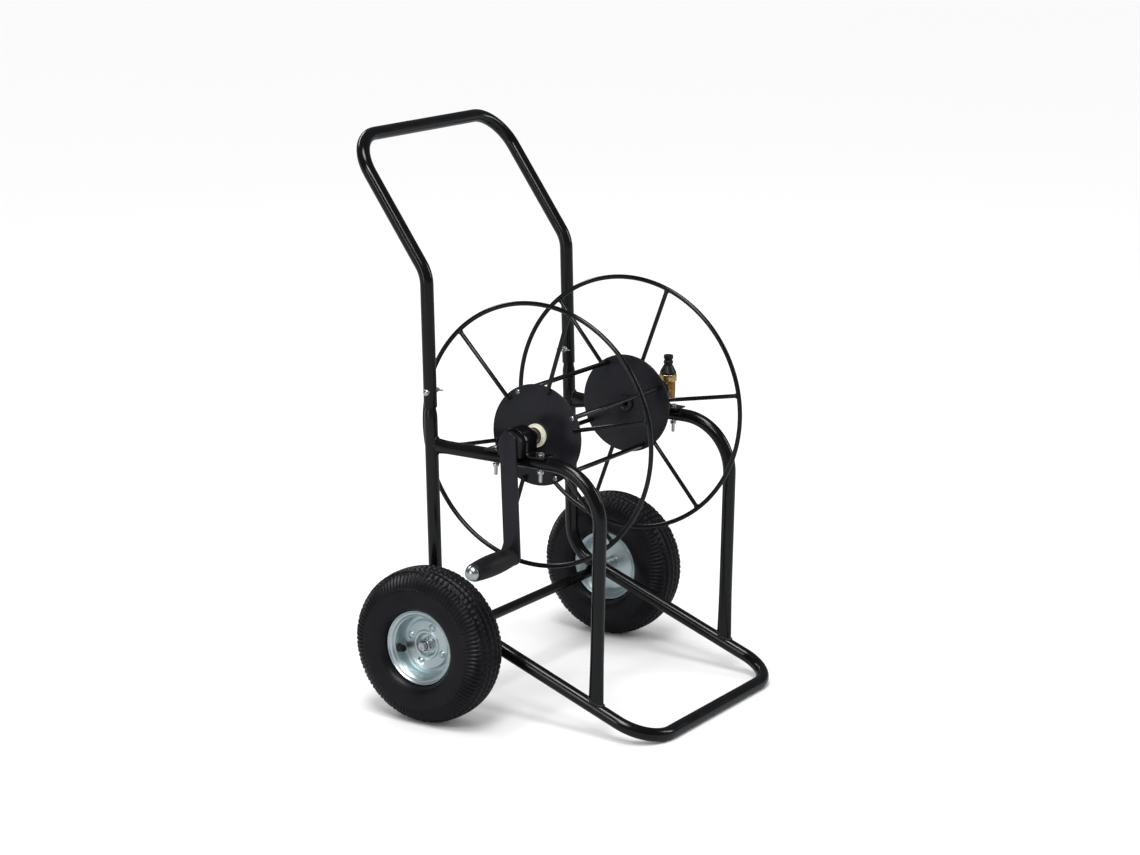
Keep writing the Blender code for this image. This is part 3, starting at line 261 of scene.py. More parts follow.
def add_piece(name, bm, body, material, replaces=(), sharp=40):
    """Makes the shape an object that rides on a body of the cart, and hides the plain nodes it stands for."""
    bmesh.ops.remove_doubles(bm, verts=bm.verts, dist=WELD_DISTANCE)
    bmesh.ops.holes_fill(bm, edges=[edge for edge in bm.edges if edge.is_boundary])
    bmesh.ops.recalc_face_normals(bm, faces=bm.faces)
    mesh = bpy.data.meshes.new(name)
    bm.to_mesh(mesh)
    bm.free()
    mesh.materials.append(material)
    mesh.shade_smooth()
    mesh.set_sharp_from_angle(angle=math.radians(sharp))
    piece = bpy.data.objects.new(name, mesh)
    bpy.context.scene.collection.objects.link(piece)
    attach(piece, body)
    if replaces:
        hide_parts(*replaces)
    print(name, len(mesh.polygons), "faces")
    return piece


def soften(bm, width, segments=2, angle=32):
    """Rounds every edge that is sharper than an angle, in degrees."""
    corners = [edge for edge in bm.edges if edge.is_manifold and edge.calc_face_angle(0) > math.radians(angle)]
    bmesh.ops.bevel(
        bm, geom=corners, offset=width, offset_type="OFFSET", segments=segments, profile=0.5,
        affect="EDGES", clamp_overlap=True, material=-1,
    )
    return bm


def wire(bm, points, closed=False, rounding=0.0, segments=3):
    """Draws a line through points and rounds its corners."""
    verts = [bm.verts.new(point) for point in points]
    pairs = list(zip(verts, verts[1:])) + ([(verts[-1], verts[0])] if closed else [])
    for pair in pairs:
        bm.edges.new(pair)
    if rounding:
        bmesh.ops.bevel(
            bm, geom=verts if closed else verts[1:-1], offset=rounding, offset_type="OFFSET", segments=segments,
            profile=0.5, affect="VERTICES", clamp_overlap=True, material=-1,
        )


def lathe(profile, centre, steps=64, axis="X", closed=False, rounding=0.0, side=1, segments=3):
    """Turns a profile of (distance along the axis, radius) about an axis through a point."""
    bm = bmesh.new()
    wire(bm, [(side * along, radius, 0) for along, radius in profile], closed, rounding, segments)
    bmesh.ops.spin(
        bm, geom=bm.verts[:] + bm.edges[:], axis=(1, 0, 0), cent=(0, 0, 0), steps=steps, angle=math.tau,
        use_merge=True,
    )
    bmesh.ops.remove_doubles(bm, verts=bm.verts, dist=WELD_DISTANCE)
    if axis == "Z":
        bmesh.ops.rotate(bm, verts=bm.verts, matrix=Matrix.Rotation(-math.pi / 2, 3, "Y"))
    bmesh.ops.translate(bm, verts=bm.verts, vec=centre)
    return bm


def merge(bm, other):
    """Adds a second shape to the first."""
    spare = bpy.data.meshes.new("spare")
    other.to_mesh(spare)
    other.free()
    bm.from_mesh(spare)
    bpy.data.meshes.remove(spare)
    return bm


def prism(flats, low, high, centre, axis="Z", sides=6, turn=0.0):
    """A solid with flat sides, such as a hexagon head, from low to high along its axis."""
    bm = bmesh.new()
    corner = flats / 2 / math.cos(math.pi / sides)
    place = Matrix.Translation((0, 0, (low + high) / 2)) @ Matrix.Rotation(math.radians(turn), 4, "Z")
    bmesh.ops.create_cone(
        bm, cap_ends=True, segments=sides, radius1=corner, radius2=corner, depth=high - low, matrix=place
    )
    if axis == "X":
        bmesh.ops.rotate(bm, verts=bm.verts, matrix=Matrix.Rotation(math.pi / 2, 3, "Y"))
    bmesh.ops.translate(bm, verts=bm.verts, vec=centre)
    return bm


def round_bar(start, end, radius, sides=20, bm=None):
    """A closed round bar between two points."""
    bm = bm or bmesh.new()
    axis = Vector(end) - Vector(start)
    place = Matrix.Translation((Vector(start) + Vector(end)) / 2)
    place = place @ axis.to_track_quat("Z", "Y").to_matrix().to_4x4()
    bmesh.ops.create_cone(
        bm, cap_ends=True, segments=sides, radius1=radius, radius2=radius, depth=axis.length, matrix=place
    )
    return bm


# %% Pick out what an operator has made
def new_verts(made):
    return [item for item in made if isinstance(item, bmesh.types.BMVert)]


def new_edges(made):
    """The edges that lie wholly in freshly made points."""
    verts = set(new_verts(made))
    return [item for item in made if isinstance(item, bmesh.types.BMEdge) and set(item.verts) <= verts]


def push_face(bm, face, move):
    """Extrudes a face into a plate or a block, and returns the face at its far end."""
    made = bmesh.ops.extrude_face_region(bm, geom=[face])["geom"]
    bmesh.ops.translate(bm, verts=new_verts(made), vec=move)
    return next(item for item in made if isinstance(item, bmesh.types.BMFace))


# %% Define the tube bender
TUBE_WALL, BORE_DEPTH = 0.0015, 0.020
TUBE_STEP = 0.008  # between the rings of a straight run




def push(bm, ring, move, steps=1):
    """Extrudes an open ring in equal steps and returns the last ring."""
    for _ in range(steps):
        made = bmesh.ops.extrude_edge_only(bm, edges=ring)["geom"]
        bmesh.ops.translate(bm, verts=new_verts(made), vec=move / steps)
        ring = new_edges(made)
    return ring


def resize(bm, ring, centre, factor):
    """Extrudes a ring in place and scales it about its centre."""
    made = bmesh.ops.extrude_edge_only(bm, edges=ring)["geom"]
    bmesh.ops.scale(bm, verts=new_verts(made), vec=(factor,) * 3, space=Matrix.Translation(-Vector(centre)))
    return new_edges(made)


def open_end(bm, ring, centre, inwards):
    """Turns a tube's edge inwards, so that its end shows the wall's thickness and a dark bore."""
    radius = (ring[0].verts[0].co - centre).length
    ring = resize(bm, ring, centre, (radius - TUBE_WALL) / radius)
    push(bm, ring, inwards * BORE_DEPTH)


def run_steps(start, end):
    return max(1, round((end - start).length / TUBE_STEP))


def bent_tube(corners, bends, radius, sides=36, bend_steps=18, open_ends=True):
    """Bends a tube through corners, with a bend radius for each corner between the ends."""
    bm = bmesh.new()
    corners = [Vector(corner) for corner in corners]
    run = (corners[1] - corners[0]).normalized()
    place = Matrix.Translation(corners[0]) @ run.to_track_quat("Z", "Y").to_matrix().to_4x4()
    bmesh.ops.create_circle(bm, segments=sides, radius=radius, matrix=place)
    ring = bm.edges[:]
    first_ring, first_run, here = ring, run, corners[0]
    for corner, after, bend in zip(corners[1:], corners[2:], bends):
        onward = (after - corner).normalized()
        turn = run.angle(onward)
        start = corner - run * bend * math.tan(turn / 2)
        ring = push(bm, ring, start - here, run_steps(here, start))
        centre = corner + (onward - run).normalized() * bend / math.cos(turn / 2)
        verts = list({v for edge in ring for v in edge.verts})
        spun = bmesh.ops.spin(
            bm, geom=verts + ring, cent=centre, axis=run.cross(onward).normalized(), angle=turn, steps=bend_steps
        )
        ring = new_edges(spun["geom_last"])
        here = corner + onward * bend * math.tan(turn / 2)
        run = onward
    ring = push(bm, ring, corners[-1] - here, run_steps(here, corners[-1]))
    if open_ends:
        open_end(bm, first_ring, corners[0], first_run)
        open_end(bm, ring, corners[-1], -run)
    return bm


# %% [markdown]
# ## The lower frame
# One long tube goes up the left side, round the nose and up the right side. It leans back a little above the
# heels, and its two tops are pressed thinner, so that the handle slips over them. The base passes just above the
# axle tube, so its slope is worked out from that touch, as a bender would set it.

# %% Work out the frame's lines
FRAME_X = wing_axis["right"].x - (wing_axis["right"].x + wing_axis["left"].x) / 2
FRAME_MIDDLE = (wing_axis["right"].x + wing_axis["left"].x) / 2
UPRIGHT_LEAN = 0.045
NOSE_RADIUS, HEEL_RADIUS = 0.065, 0.070
NOSE_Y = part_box("lower_frame")[0].y + tube_radius
axle_tube_radius = extent("axle_tube").z / 2


def side_x(side):
    return FRAME_MIDDLE + side * FRAME_X


def upright(side, height):
    """The middle of an upright at a height."""
    return Vector((side_x(side), wing_axis["left"].y + UPRIGHT_LEAN * (height - wing_axis["left"].z), height))


def base_run():
    """The direction of the base tubes, from the nose back over the axle tube."""
    to_axle = Vector((ground_axle.y - NOSE_Y, ground_axle.z - tube_radius))
    touch = tube_radius + axle_tube_radius + 0.0003
    slope = math.atan2(to_axle.y, to_axle.x) + math.asin(touch / to_axle.length)
    return Vector((0, math.cos(slope), math.sin(slope)))


def base_point(side, y):
    run = base_run()
    return Vector((side_x(side), y, tube_radius + (y - NOSE_Y) * run.z / run.y))


def heel(side):
    """Where the base line and the upright's line cross."""
    run, foot = base_run(), upright(side, tube_radius)
    distance = (foot.y - NOSE_Y) / (run.y - UPRIGHT_LEAN * run.z)
    return Vector((side_x(side), NOSE_Y, tube_radius)) + run * distance


print("base slope", round(math.degrees(math.asin(base_run().z)), 1), "degrees")

# %% Bend the lower frame
JOINT_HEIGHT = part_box("handle")[0].z
SHOULDER, SPIGOT_RADIUS = 0.0145, 0.0093


def build_lower_frame():
    tops = [upright(side, JOINT_HEIGHT + 0.02) for side in (-1, 1)]
    nose = [Vector((side_x(side), NOSE_Y, tube_radius)) for side in (-1, 1)]
    corners = [tops[0], heel(-1), nose[0], nose[1], heel(1), tops[1]]
    bm = bent_tube(corners, [HEEL_RADIUS, NOSE_RADIUS, NOSE_RADIUS, HEEL_RADIUS], tube_radius)
    shoulder_low = JOINT_HEIGHT - SHOULDER
    for vert in bm.verts:
        if vert.co.z > shoulder_low:
            side = math.copysign(1, vert.co.x - FRAME_MIDDLE)
            centre = upright(side, vert.co.z)
            share = min((vert.co.z - shoulder_low) / (SHOULDER * 0.7), 1)
            shrink = 1 - (1 - SPIGOT_RADIUS / tube_radius) * share * share * (3 - 2 * share)
            vert.co = centre + (vert.co - centre) * shrink
    add_piece("lower_frame_tube", bm, "frame", gloss_paint, ["lower_frame"])


build_lower_frame()

# %% [markdown]
# ## The handle
# The push handle is a second bent tube. It rises in line with the uprights, bends back, and turns round two
# generous corners into the bar. Its lower ends stay open round the thinner tops of the frame.

# %% Bend the handle
HANDLE_BEND_HEIGHT, HANDLE_BEND, HANDLE_CORNER = 0.727, 0.060, 0.068


def build_handle():
    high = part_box("handle")[1]
    bar_y, bar_z = high.y - tube_radius, high.z - tube_radius
    left = [upright(-1, JOINT_HEIGHT), upright(-1, HANDLE_BEND_HEIGHT), Vector((side_x(-1), bar_y, bar_z))]
    right = [Vector((side_x(1), bar_y, bar_z)), upright(1, HANDLE_BEND_HEIGHT), upright(1, JOINT_HEIGHT)]
    bm = bent_tube(left + right, [HANDLE_BEND, HANDLE_CORNER, HANDLE_CORNER, HANDLE_BEND], tube_radius)
    add_piece("handle_tube", bm, "frame", gloss_paint, ["handle"])


build_handle()

# %% [markdown]
# ## The hoops
# Each hoop leaves an upright, runs level under the reel, and turns down to the base. Its two ends are squeezed
# flat in a press before they are welded: the tube keeps its girth, so as it gets thinner it also gets wider.

# %% Bend and press the hoops
HOOP_BEND = 0.090
FOOT_FLAT, FOOT_THIN, FOOT_WIDE = 0.105, 0.014, 0.027
TAIL_FLAT, TAIL_THIN, TAIL_WIDE = 0.035, 0.013, 0.028
hoop_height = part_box("hoop_left")[1].z - tube_radius
hoop_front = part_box("hoop_left")[0].y + FOOT_WIDE / 2


def squeeze(vert, centre, share, thin, wide, wide_axis):
    """Moves a point of a round tube towards its place on the pressed tube."""
    share = share * share * (3 - 2 * share)
    vert.co.x = centre.x + (vert.co.x - centre.x) * (1 + share * (thin / (2 * tube_radius) - 1))
    spread = 1 + share * (wide / (2 * tube_radius) - 1)
    vert.co[wide_axis] = centre[wide_axis] + (vert.co[wide_axis] - centre[wide_axis]) * spread


def build_hoop(name, side):
    tail = upright(side, hoop_height)
    foot = base_point(side, hoop_front)
    corners = [tail, Vector((side_x(side), hoop_front, hoop_height)), foot]
    bm = bent_tube(corners, [HOOP_BEND], tube_radius, open_ends=False)
    for vert in bm.verts:
        foot_share = 1 - (vert.co.z - foot.z) / FOOT_FLAT
        tail_share = 1 - (tail.y - vert.co.y) / TAIL_FLAT
        if foot_share > 0:
            squeeze(vert, foot, min(foot_share, 1), FOOT_THIN, FOOT_WIDE, 1)
        elif tail_share > 0:
            squeeze(vert, tail, min(tail_share, 1), TAIL_THIN, TAIL_WIDE, 2)
    add_piece(f"hoop_{name}_tube", bm, "frame", gloss_paint, [f"hoop_{name}"])


for name, side in SIDES:
    build_hoop(name, side)

# %% [markdown]
# ## Welds
# A weld is a row of small overlapping puddles. Each bead is a flattened ball on the line where two tubes meet,
# and the paint over them is rougher than on the tubes.

# %% Lay the weld beads
def bead(bm, place, radius, flat, outward):
    """Adds one puddle of weld, flattened along the way that it faces."""
    turn = outward.to_track_quat("Z", "Y").to_matrix().to_4x4()
    squash = Matrix.Diagonal((1, 1, flat, 1))
    bmesh.ops.create_icosphere(
        bm, subdivisions=2, radius=radius, matrix=Matrix.Translation(place) @ turn @ squash
    )


def build_foot_weld(name, side):
    """Follows the pressed foot round where it stands on the sloping base tube."""
    bm = bmesh.new()
    run = base_run()
    count = 26
    for step in range(count):
        angle = math.tau * step / count
        across, along = FOOT_THIN / 2 * math.cos(angle), FOOT_WIDE / 2 * math.sin(angle)
        foot = base_point(side, hoop_front + along)
        rise = math.sqrt(tube_radius**2 - across**2) / run.y
        out = Vector((math.cos(angle), math.sin(angle) * 0.5, 0.6)).normalized()
        wobble = 1 + 0.22 * math.sin(step * 2.4)
        bead(bm, foot + Vector((across, 0, rise)) + out * 0.0006, 0.0024 * wobble, 0.8, out)
    add_piece(f"foot_weld_{name}", bm, "frame", weld_paint)


def build_tail_weld(name, side):
    """Follows the pressed tail round where it meets the upright."""
    bm = bmesh.new()
    tail = upright(side, hoop_height)
    count = 22
    for step in range(count):
        angle = math.tau * step / count
        across, rise = TAIL_THIN / 2 * math.cos(angle), TAIL_WIDE / 2 * math.sin(angle)
        front = -math.sqrt(tube_radius**2 - across**2) + UPRIGHT_LEAN * rise
        out = Vector((math.cos(angle) * 0.5, -0.8, math.sin(angle))).normalized()
        place = tail + Vector((across, front, rise)) + out * 0.0004
        bead(bm, place, 0.0022 + 0.0005 * math.sin(step * 1.9), 0.8, out)
    add_piece(f"tail_weld_{name}", bm, "frame", weld_paint)


def build_axle_weld(name, side):
    """A short weld on each side of the line where the base tube crosses the axle tube."""
    bm = bmesh.new()
    run = base_run()
    up = Vector((0, -run.z, run.y))
    touch = ground_axle + up * axle_tube_radius + Vector((side_x(side), 0, 0))
    for way in (-1, 1):
        for step in range(9):
            across = (step - 4) * 0.0021
            gap = 0.0035 + 0.0009 * abs(step - 4) * 0.4
            place = touch + run * way * gap + Vector((across, 0, 0))
            bead(bm, place, 0.0024 + 0.0004 * math.sin(step * 2.1), 0.9, up)
    add_piece(f"axle_weld_{name}", bm, "frame", weld_paint)


for name, side in SIDES:
    build_foot_weld(name, side)
    build_tail_weld(name, side)
    build_axle_weld(name, side)

# %% [markdown]
# ## The axle
# The axle tube is plain pipe. The solid axle runs through it, and its threaded ends carry a hexagon nut each.
# The thread is a stack of fine rings, which at this size looks the same as a helix and is much easier to turn.

# %% Turn the axle and its tube
def threaded(profile_start, radius, length, pitch, direction=1):
    """The outline of a threaded end, as (along, radius) points from its start to its chamfered tip."""
    points = []
    turns = int(length / pitch) - 1
    for turn in range(turns):
        start = profile_start + direction * turn * pitch
        points += [(start, radius * 0.94), (start + direction * pitch / 2, radius)]
    tip = profile_start + direction * length
    points += [(tip - direction * pitch, radius * 0.97), (tip, radius * 0.86)]
    return points


def build_axle():
    low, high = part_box("axle_tube")
    inner = axle_tube_radius - TUBE_WALL
    profile = [(low.x, inner), (low.x, axle_tube_radius), (high.x, axle_tube_radius), (high.x, inner)]
    bm = lathe(profile, ground_axle, 48, closed=True)
    add_piece("axle_pipe", bm, "frame", gloss_paint, ["axle_tube"])
    radius = extent("axle").z / 2
    low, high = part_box("axle")
    middle_x = (low.x + high.x) / 2
    half = (high.x - low.x) / 2
    thread = 0.020
    right = [(half - thread, radius)] + threaded(half - thread, radius, thread, 0.002)
    right += [(half, radius * 0.3), (half - 0.001, 0)]
    left = [(-along, around) for along, around in reversed(right)]
    bm = lathe(left + right, Vector((middle_x, ground_axle.y, ground_axle.z)), 40)
    add_piece("axle_rod", bm, "frame", bright_zinc, ["axle"])
    for name, side in SIDES:
        low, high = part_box(f"axle_nut_{name}")
        nut = prism(extent(f"axle_nut_{name}").z * 0.97, low.x, high.x, ground_axle, "X", turn=18)
        soften(nut, 0.0012, 3)
        face = (high.x if side > 0 else low.x) + side * 0.0001
        collar = [(0, radius + 0.0002), (0, 0.0092), (0.0012, 0.0088), (0.0012, radius + 0.0002)]
        place = Vector((face - side * 0.0013, ground_axle.y, ground_axle.z))
        merge(nut, lathe(collar, place, 40, closed=True, side=side))
        add_piece(f"axle_nut_{name}_hex", nut, "frame", bright_zinc, [f"axle_nut_{name}"])


build_axle()

# %% [markdown]
# ## Tyres
# The tyre's section is squared off, with a narrow neck that hooks behind the rim. It is spun in fine steps, and
# then the tread is pressed into it: bars on the shoulders, and zigzag grooves round the crown. The depth comes
# from where a point is across the tyre and round it, so the pattern repeats exactly and closes on itself.

# %% Define the tyre's section and tread
TYRE_STEPS, TREAD_PITCHES, SHOULDER_BARS = 624, 78, 104
wheel_radius = extent("tyre_left").z / 2
tyre_half = extent("tyre_left").x / 2
flange_radius = extent("rim_outer_left").z / 2
rim_face = {
    name: abs((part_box(f"rim_outer_{name}")[1 if side > 0 else 0] - wheel_axis[name]).x) for name, side in SIDES
}
SEAT_RADIUS = 0.0515


def tyre_outline():
    """The outside of the tyre from one bead over the crown to the other, as (x, radius) points."""
    half_height = (wheel_radius - SEAT_RADIUS) / 2
    centre = wheel_radius - half_height
    points = []
    for step in range(101):
        angle = math.radians(-24 + 228 * step / 100)
        c, s = math.cos(angle), math.sin(angle)
        x = (tyre_half - 0.0001) * math.copysign(abs(c) ** 0.75, c)
        points.append((x, centre + half_height * math.copysign(abs(s) ** 0.75, s)))
    face = rim_face["left"]
    neck = [(face - 0.0105, SEAT_RADIUS + 0.0015), (face - 0.0085, flange_radius - 0.0050)]
    neck += [(face - 0.0060, flange_radius - 0.0002), (face - 0.0030, flange_radius + 0.0009)]
    neck += [(face + 0.0005, flange_radius + 0.0011), (face + 0.0040, flange_radius + 0.0016)]
    other = [(-x, radius) for x, radius in reversed(neck)]
    return neck + points + other


def bell(value, centre, width):
    return max(0.0, 1 - abs(value - centre) / width)


def ramp(value, start, end):
    return min(1.0, max(0.0, (value - start) / (end - start)))


def tread_depth(x, radius, angle):
    """How deep the mould presses the tyre at a point, in metres."""
    across = abs(x) / tyre_half
    rise = radius / wheel_radius
    around = angle / math.tau
    crown = ramp(rise, 0.90, 0.92)
    zigzag = abs((around * TREAD_PITCHES) % 1 - 0.5) * 2
    notch = ramp(zigzag, 0.45, 0.75)
    depth = 0.0
    for line, width in ((0.0, 0.05), (0.27, 0.06), (0.55, 0.06)):
        place = line + 0.05 * (zigzag - 0.5)
        depth = max(depth, 0.0034 * min(1, 2.5 * bell(across, place, width)) * crown)
        depth = max(depth, 0.0024 * notch * min(1, 2 * bell(across, line + 0.075, 0.075)) * crown)
    bar = abs((around * SHOULDER_BARS) % 1 - 0.5) * 2
    zone = ramp(across, 0.66, 0.72) * ramp(rise, 0.775, 0.80) * (1 - ramp(rise, 0.955, 0.97))
    return max(depth, 0.0034 * zone * ramp(bar, 0.30, 0.72))


# %% Press the tyres
def build_tyre(name):
    bm = bmesh.new()
    wire(bm, [(x, radius, 0) for x, radius in tyre_outline()])
    bmesh.ops.spin(
        bm, geom=bm.verts[:] + bm.edges[:], axis=(1, 0, 0), cent=(0, 0, 0), steps=TYRE_STEPS, angle=math.tau,
        use_merge=True,
    )
    for vert in bm.verts:
        radius = math.hypot(vert.co.y, vert.co.z)
        depth = tread_depth(vert.co.x, radius, math.atan2(vert.co.z, vert.co.y) % math.tau)
        ring = 0.0010 * bell(radius, wheel_radius * 0.745, 0.0020)
        ring += 0.0006 * bell(radius, flange_radius + 0.006, 0.0020)
        outward = Vector((vert.co.x * 0.8, vert.co.y, vert.co.z)).normalized()
        vert.co += outward * (ring - depth)
    bmesh.ops.bridge_loops(bm, edges=[edge for edge in bm.edges if edge.is_boundary])
    bmesh.ops.translate(bm, verts=bm.verts, vec=wheel_axis[name])
    add_piece(
        f"tyre_{name}_rubber", bm, f"wheel_{name}", tyre_rubber,
        [f"tyre_{name}"], sharp=60,
    )


for name, _ in SIDES:
    build_tyre(name)

# %% [markdown]
# ## Rims
# A rim is pressed from sheet, so its profile is a line with rounded corners that is spun and given a thickness.
# From the outside in: a rolled flange, a step, a deep dish, a raised plate with four bolt heads, and a ring round
# the recess where the axle nut sits.

# %% Turn the rims
PLATE_FACE, DISH_FLOOR, RIM_SHEET = 0.0060, -0.0020, 0.0012
BOLT_CIRCLE, BOLT_FIRST_ANGLE = 0.0325, 69.5


def round_axis(centre, radius, degrees, x=0.0):
    """A point round an axis along X, with 0 degrees to the front and 90 degrees up."""
    angle = math.radians(degrees)
    return Vector((centre.x + x, centre.y - radius * math.cos(angle), centre.z + radius * math.sin(angle)))


def rim_outline(face):
    """The outer half's visible face, from the hub to the flange's rolled edge, as (x, radius) points."""
    return [
        (DISH_FLOOR + 0.0005, 0.0112),
        (DISH_FLOOR + 0.0005, 0.0165),
        (PLATE_FACE + 0.0020, 0.0200),
        (PLATE_FACE + 0.0020, 0.0235),
        (PLATE_FACE, 0.0250),
        (PLATE_FACE, 0.0400),
        (DISH_FLOOR, 0.0425),
        (DISH_FLOOR, 0.0480),
        (DISH_FLOOR + 0.0050, 0.0512),
        (face - 0.0080, 0.0516),
        (face - 0.0072, 0.0535),
        (face - 0.0035, 0.0560),
        (face - 0.0030, 0.0590),
        (face - 0.0004, 0.0612),
        (face - 0.0004, 0.0624),
        (face - 0.0022, flange_radius),
    ]


def thicken(bm, facing):
    """Gives an open spun sheet its thickness, on the side away from where it faces: 1 for right, -1 for left."""
    bmesh.ops.recalc_face_normals(bm, faces=bm.faces)
    if sum(face.normal.x * face.calc_area() for face in bm.faces) * facing < 0:
        bmesh.ops.reverse_faces(bm, faces=bm.faces)
    bmesh.ops.solidify(bm, geom=bm.faces[:], thickness=RIM_SHEET)


def build_rim(name, side):
    centre = wheel_axis[name]
    wheel = f"wheel_{name}"
    bm = lathe(rim_outline(rim_face[name]), centre, 112, rounding=0.0011, side=side, segments=4)
    thicken(bm, side)
    add_piece(f"rim_{name}_face", bm, wheel, blue_zinc, [f"rim_outer_{name}"], sharp=50)
    edge = -rim_face[name]
    back = [(-0.0055, 0.0112), (-0.0055, 0.0475), (-0.0095, 0.0512), (edge + 0.0080, 0.0516)]
    back += [(edge + 0.0035, 0.0560), (edge + 0.0004, 0.0615), (edge + 0.0022, flange_radius)]
    bm = lathe(back, centre, 112, rounding=0.0012, side=side, segments=4)
    thicken(bm, -side)
    add_piece(f"rim_{name}_back", bm, wheel, blue_zinc, [f"rim_inner_{name}"], sharp=50)


def build_rim_bolts(name, side):
    """Four low domed bolt heads, each on a shallow pressed ring."""
    bm = bmesh.new()
    for index in range(4):
        place = round_axis(wheel_axis[name], BOLT_CIRCLE, BOLT_FIRST_ANGLE + 90 * index, side * PLATE_FACE)
        head = [(0.0040, 0), (0.0036, 0.0030), (0.0022, 0.0052), (0.0006, 0.0060), (0.0002, 0.0068), (-0.001, 0.0070)]
        merge(bm, lathe(head, place, 28, side=side))
    add_piece(f"rim_{name}_bolts", bm, f"wheel_{name}", blue_zinc, sharp=50)


def build_hub(name):
    """The hub's bush, a plain ring round the axle in the recess."""
    low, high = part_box(f"hub_bush_{name}")
    inner, outer = 0.0074, extent(f"hub_bush_{name}").z / 2
    centre = Vector((0, wheel_axis[name].y, wheel_axis[name].z))
    profile = [(low.x, inner), (low.x, outer), (high.x, outer), (high.x, inner)]
    bm = lathe(profile, centre, 48, closed=True, rounding=0.0006)
    add_piece(f"hub_{name}_bush", bm, f"wheel_{name}", bright_zinc, [f"hub_bush_{name}"])


for name, side in SIDES:
    build_rim(name, side)
    build_rim_bolts(name, side)
    build_hub(name)

# %% [markdown]
# ## Valves
# A rubber stem comes out of the dish and points at the hub. It has a thick root, a thinner neck and a cap with
# fine ribs. It stands for the plain inner tube, whose ring can't be seen inside the tyre.

# %% Mould the valves
VALVE_ANGLE = 194.0


def build_valve(name, side):
    centre = wheel_axis[name]
    root = round_axis(centre, SEAT_RADIUS - 0.0010, VALVE_ANGLE, side * 0.0130)
    tip = round_axis(centre, SEAT_RADIUS - 0.0160, VALVE_ANGLE, side * 0.0225)
    length = (tip - root).length
    profile = [(-0.003, 0.0072), (0.002, 0.0070), (0.0045, 0.0056), (length * 0.42, 0.0052), (length * 0.46, 0.0060)]
    for rib in range(5):
        start = length * (0.48 + 0.09 * rib)
        profile += [(start, 0.0060), (start + length * 0.05, 0.0060), (start + length * 0.07, 0.0056)]
    profile += [(length, 0.0052), (length, 0.0026), (length - 0.002, 0.0024), (length - 0.002, 0)]
    bm = lathe(profile, (0, 0, 0), 32, rounding=0.0003)
    aim = Matrix.Translation(root) @ (tip - root).to_track_quat("X", "Z").to_matrix().to_4x4()
    bmesh.ops.transform(bm, verts=bm.verts, matrix=aim)
    add_piece(f"valve_{name}", bm, f"wheel_{name}", black_plastic, [f"inner_tube_{name}"])


for name, side in SIDES:
    build_valve(name, side)

# %% [markdown]
# ## The reel's wire wheels
# Each side of the reel is a wire ring with six spokes. A spoke's outer end stops inside the ring with a small
# weld all round, and its inner end lies on the disc. The rings are spun, and the spokes are straight bars.

# %% Weld up the wire wheels
RING_RADIUS, SPOKE_COUNT, SPOKE_RADIUS, SPOKE_LAP = 0.218, 6, 0.0036, 0.010
FIRST_SPOKE = {"left": 13.9, "right": 10.8}
disc_radius = extent("disc_left").z / 2


def build_wire_wheel(name, side):
    low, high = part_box(f"wire_wheel_{name}")
    wire_radius = (high.x - low.x) / 2
    centre = Vector(((low.x + high.x) / 2, reel_axis.y, reel_axis.z))
    profile = []
    for step in range(20):
        angle = math.tau * step / 20
        profile.append((wire_radius * math.cos(angle), RING_RADIUS + wire_radius * math.sin(angle)))
    bm = lathe(profile, centre, 200, closed=True)
    add_piece(f"ring_{name}", bm, "reel", gloss_paint, [f"wire_wheel_{name}"])
    spokes, welds = bmesh.new(), bmesh.new()
    for index in range(SPOKE_COUNT):
        degrees = FIRST_SPOKE[name] + 360 / SPOKE_COUNT * index
        inner = round_axis(centre, disc_radius - SPOKE_LAP, degrees)
        outer = round_axis(centre, RING_RADIUS - wire_radius * 0.5, degrees)
        merge(spokes, soften(round_bar(inner, outer, SPOKE_RADIUS), 0.0012, 3))
        joint = round_axis(centre, RING_RADIUS - wire_radius - 0.0008, degrees)
        for step in range(8):
            angle = math.tau * step / 8
            tangent = round_axis(Vector(), 1, degrees + 90)
            ring = Vector((math.cos(angle), 0, 0)) + tangent * math.sin(angle)
            bead(welds, joint + ring * SPOKE_RADIUS * 0.95, 0.0017, 0.8, ring)
        for way in (-1, 1):
            tangent = round_axis(Vector(), way, degrees + 90)
            for step in range(3):
                place = round_axis(centre, disc_radius - SPOKE_LAP + 0.0025 + 0.0022 * step, degrees, -side * 0.0022)
                bead(welds, place + tangent * SPOKE_RADIUS * 0.85, 0.0016, 0.8, Vector((side, 0, 0)))
    add_piece(f"spokes_{name}", spokes, "reel", gloss_paint)
    add_piece(f"spoke_welds_{name}", welds, "reel", weld_paint)


for name, side in SIDES:
    build_wire_wheel(name, side)

# %% [markdown]
# ## Discs, bars and screws
# The discs are flat steel with a rounded edge. Four bars run between them, and a pan-head screw comes through
# each disc into each bar's end. The cross on each head is painted shade: thin black blocks lie on the dome where
# the dark of a driver's recess would be.

# %% Make the discs and the bars
# The driver's cross is painted shade, black blocks that stand for a recess which is not cut; this is their thickness
CROSS_DEPTH = 0.0008  # of the driver's cross in a screw head


def build_disc(name):
    low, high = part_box(f"disc_{name}")
    centre = Vector((0, reel_axis.y, reel_axis.z))
    profile = [(low.x, 0.0137), (low.x, disc_radius), (high.x, disc_radius), (high.x, 0.0137)]
    bm = lathe(profile, centre, 144, closed=True, rounding=0.0009)
    add_piece(f"disc_{name}_plate", bm, "reel", charcoal_paint, [f"disc_{name}"])


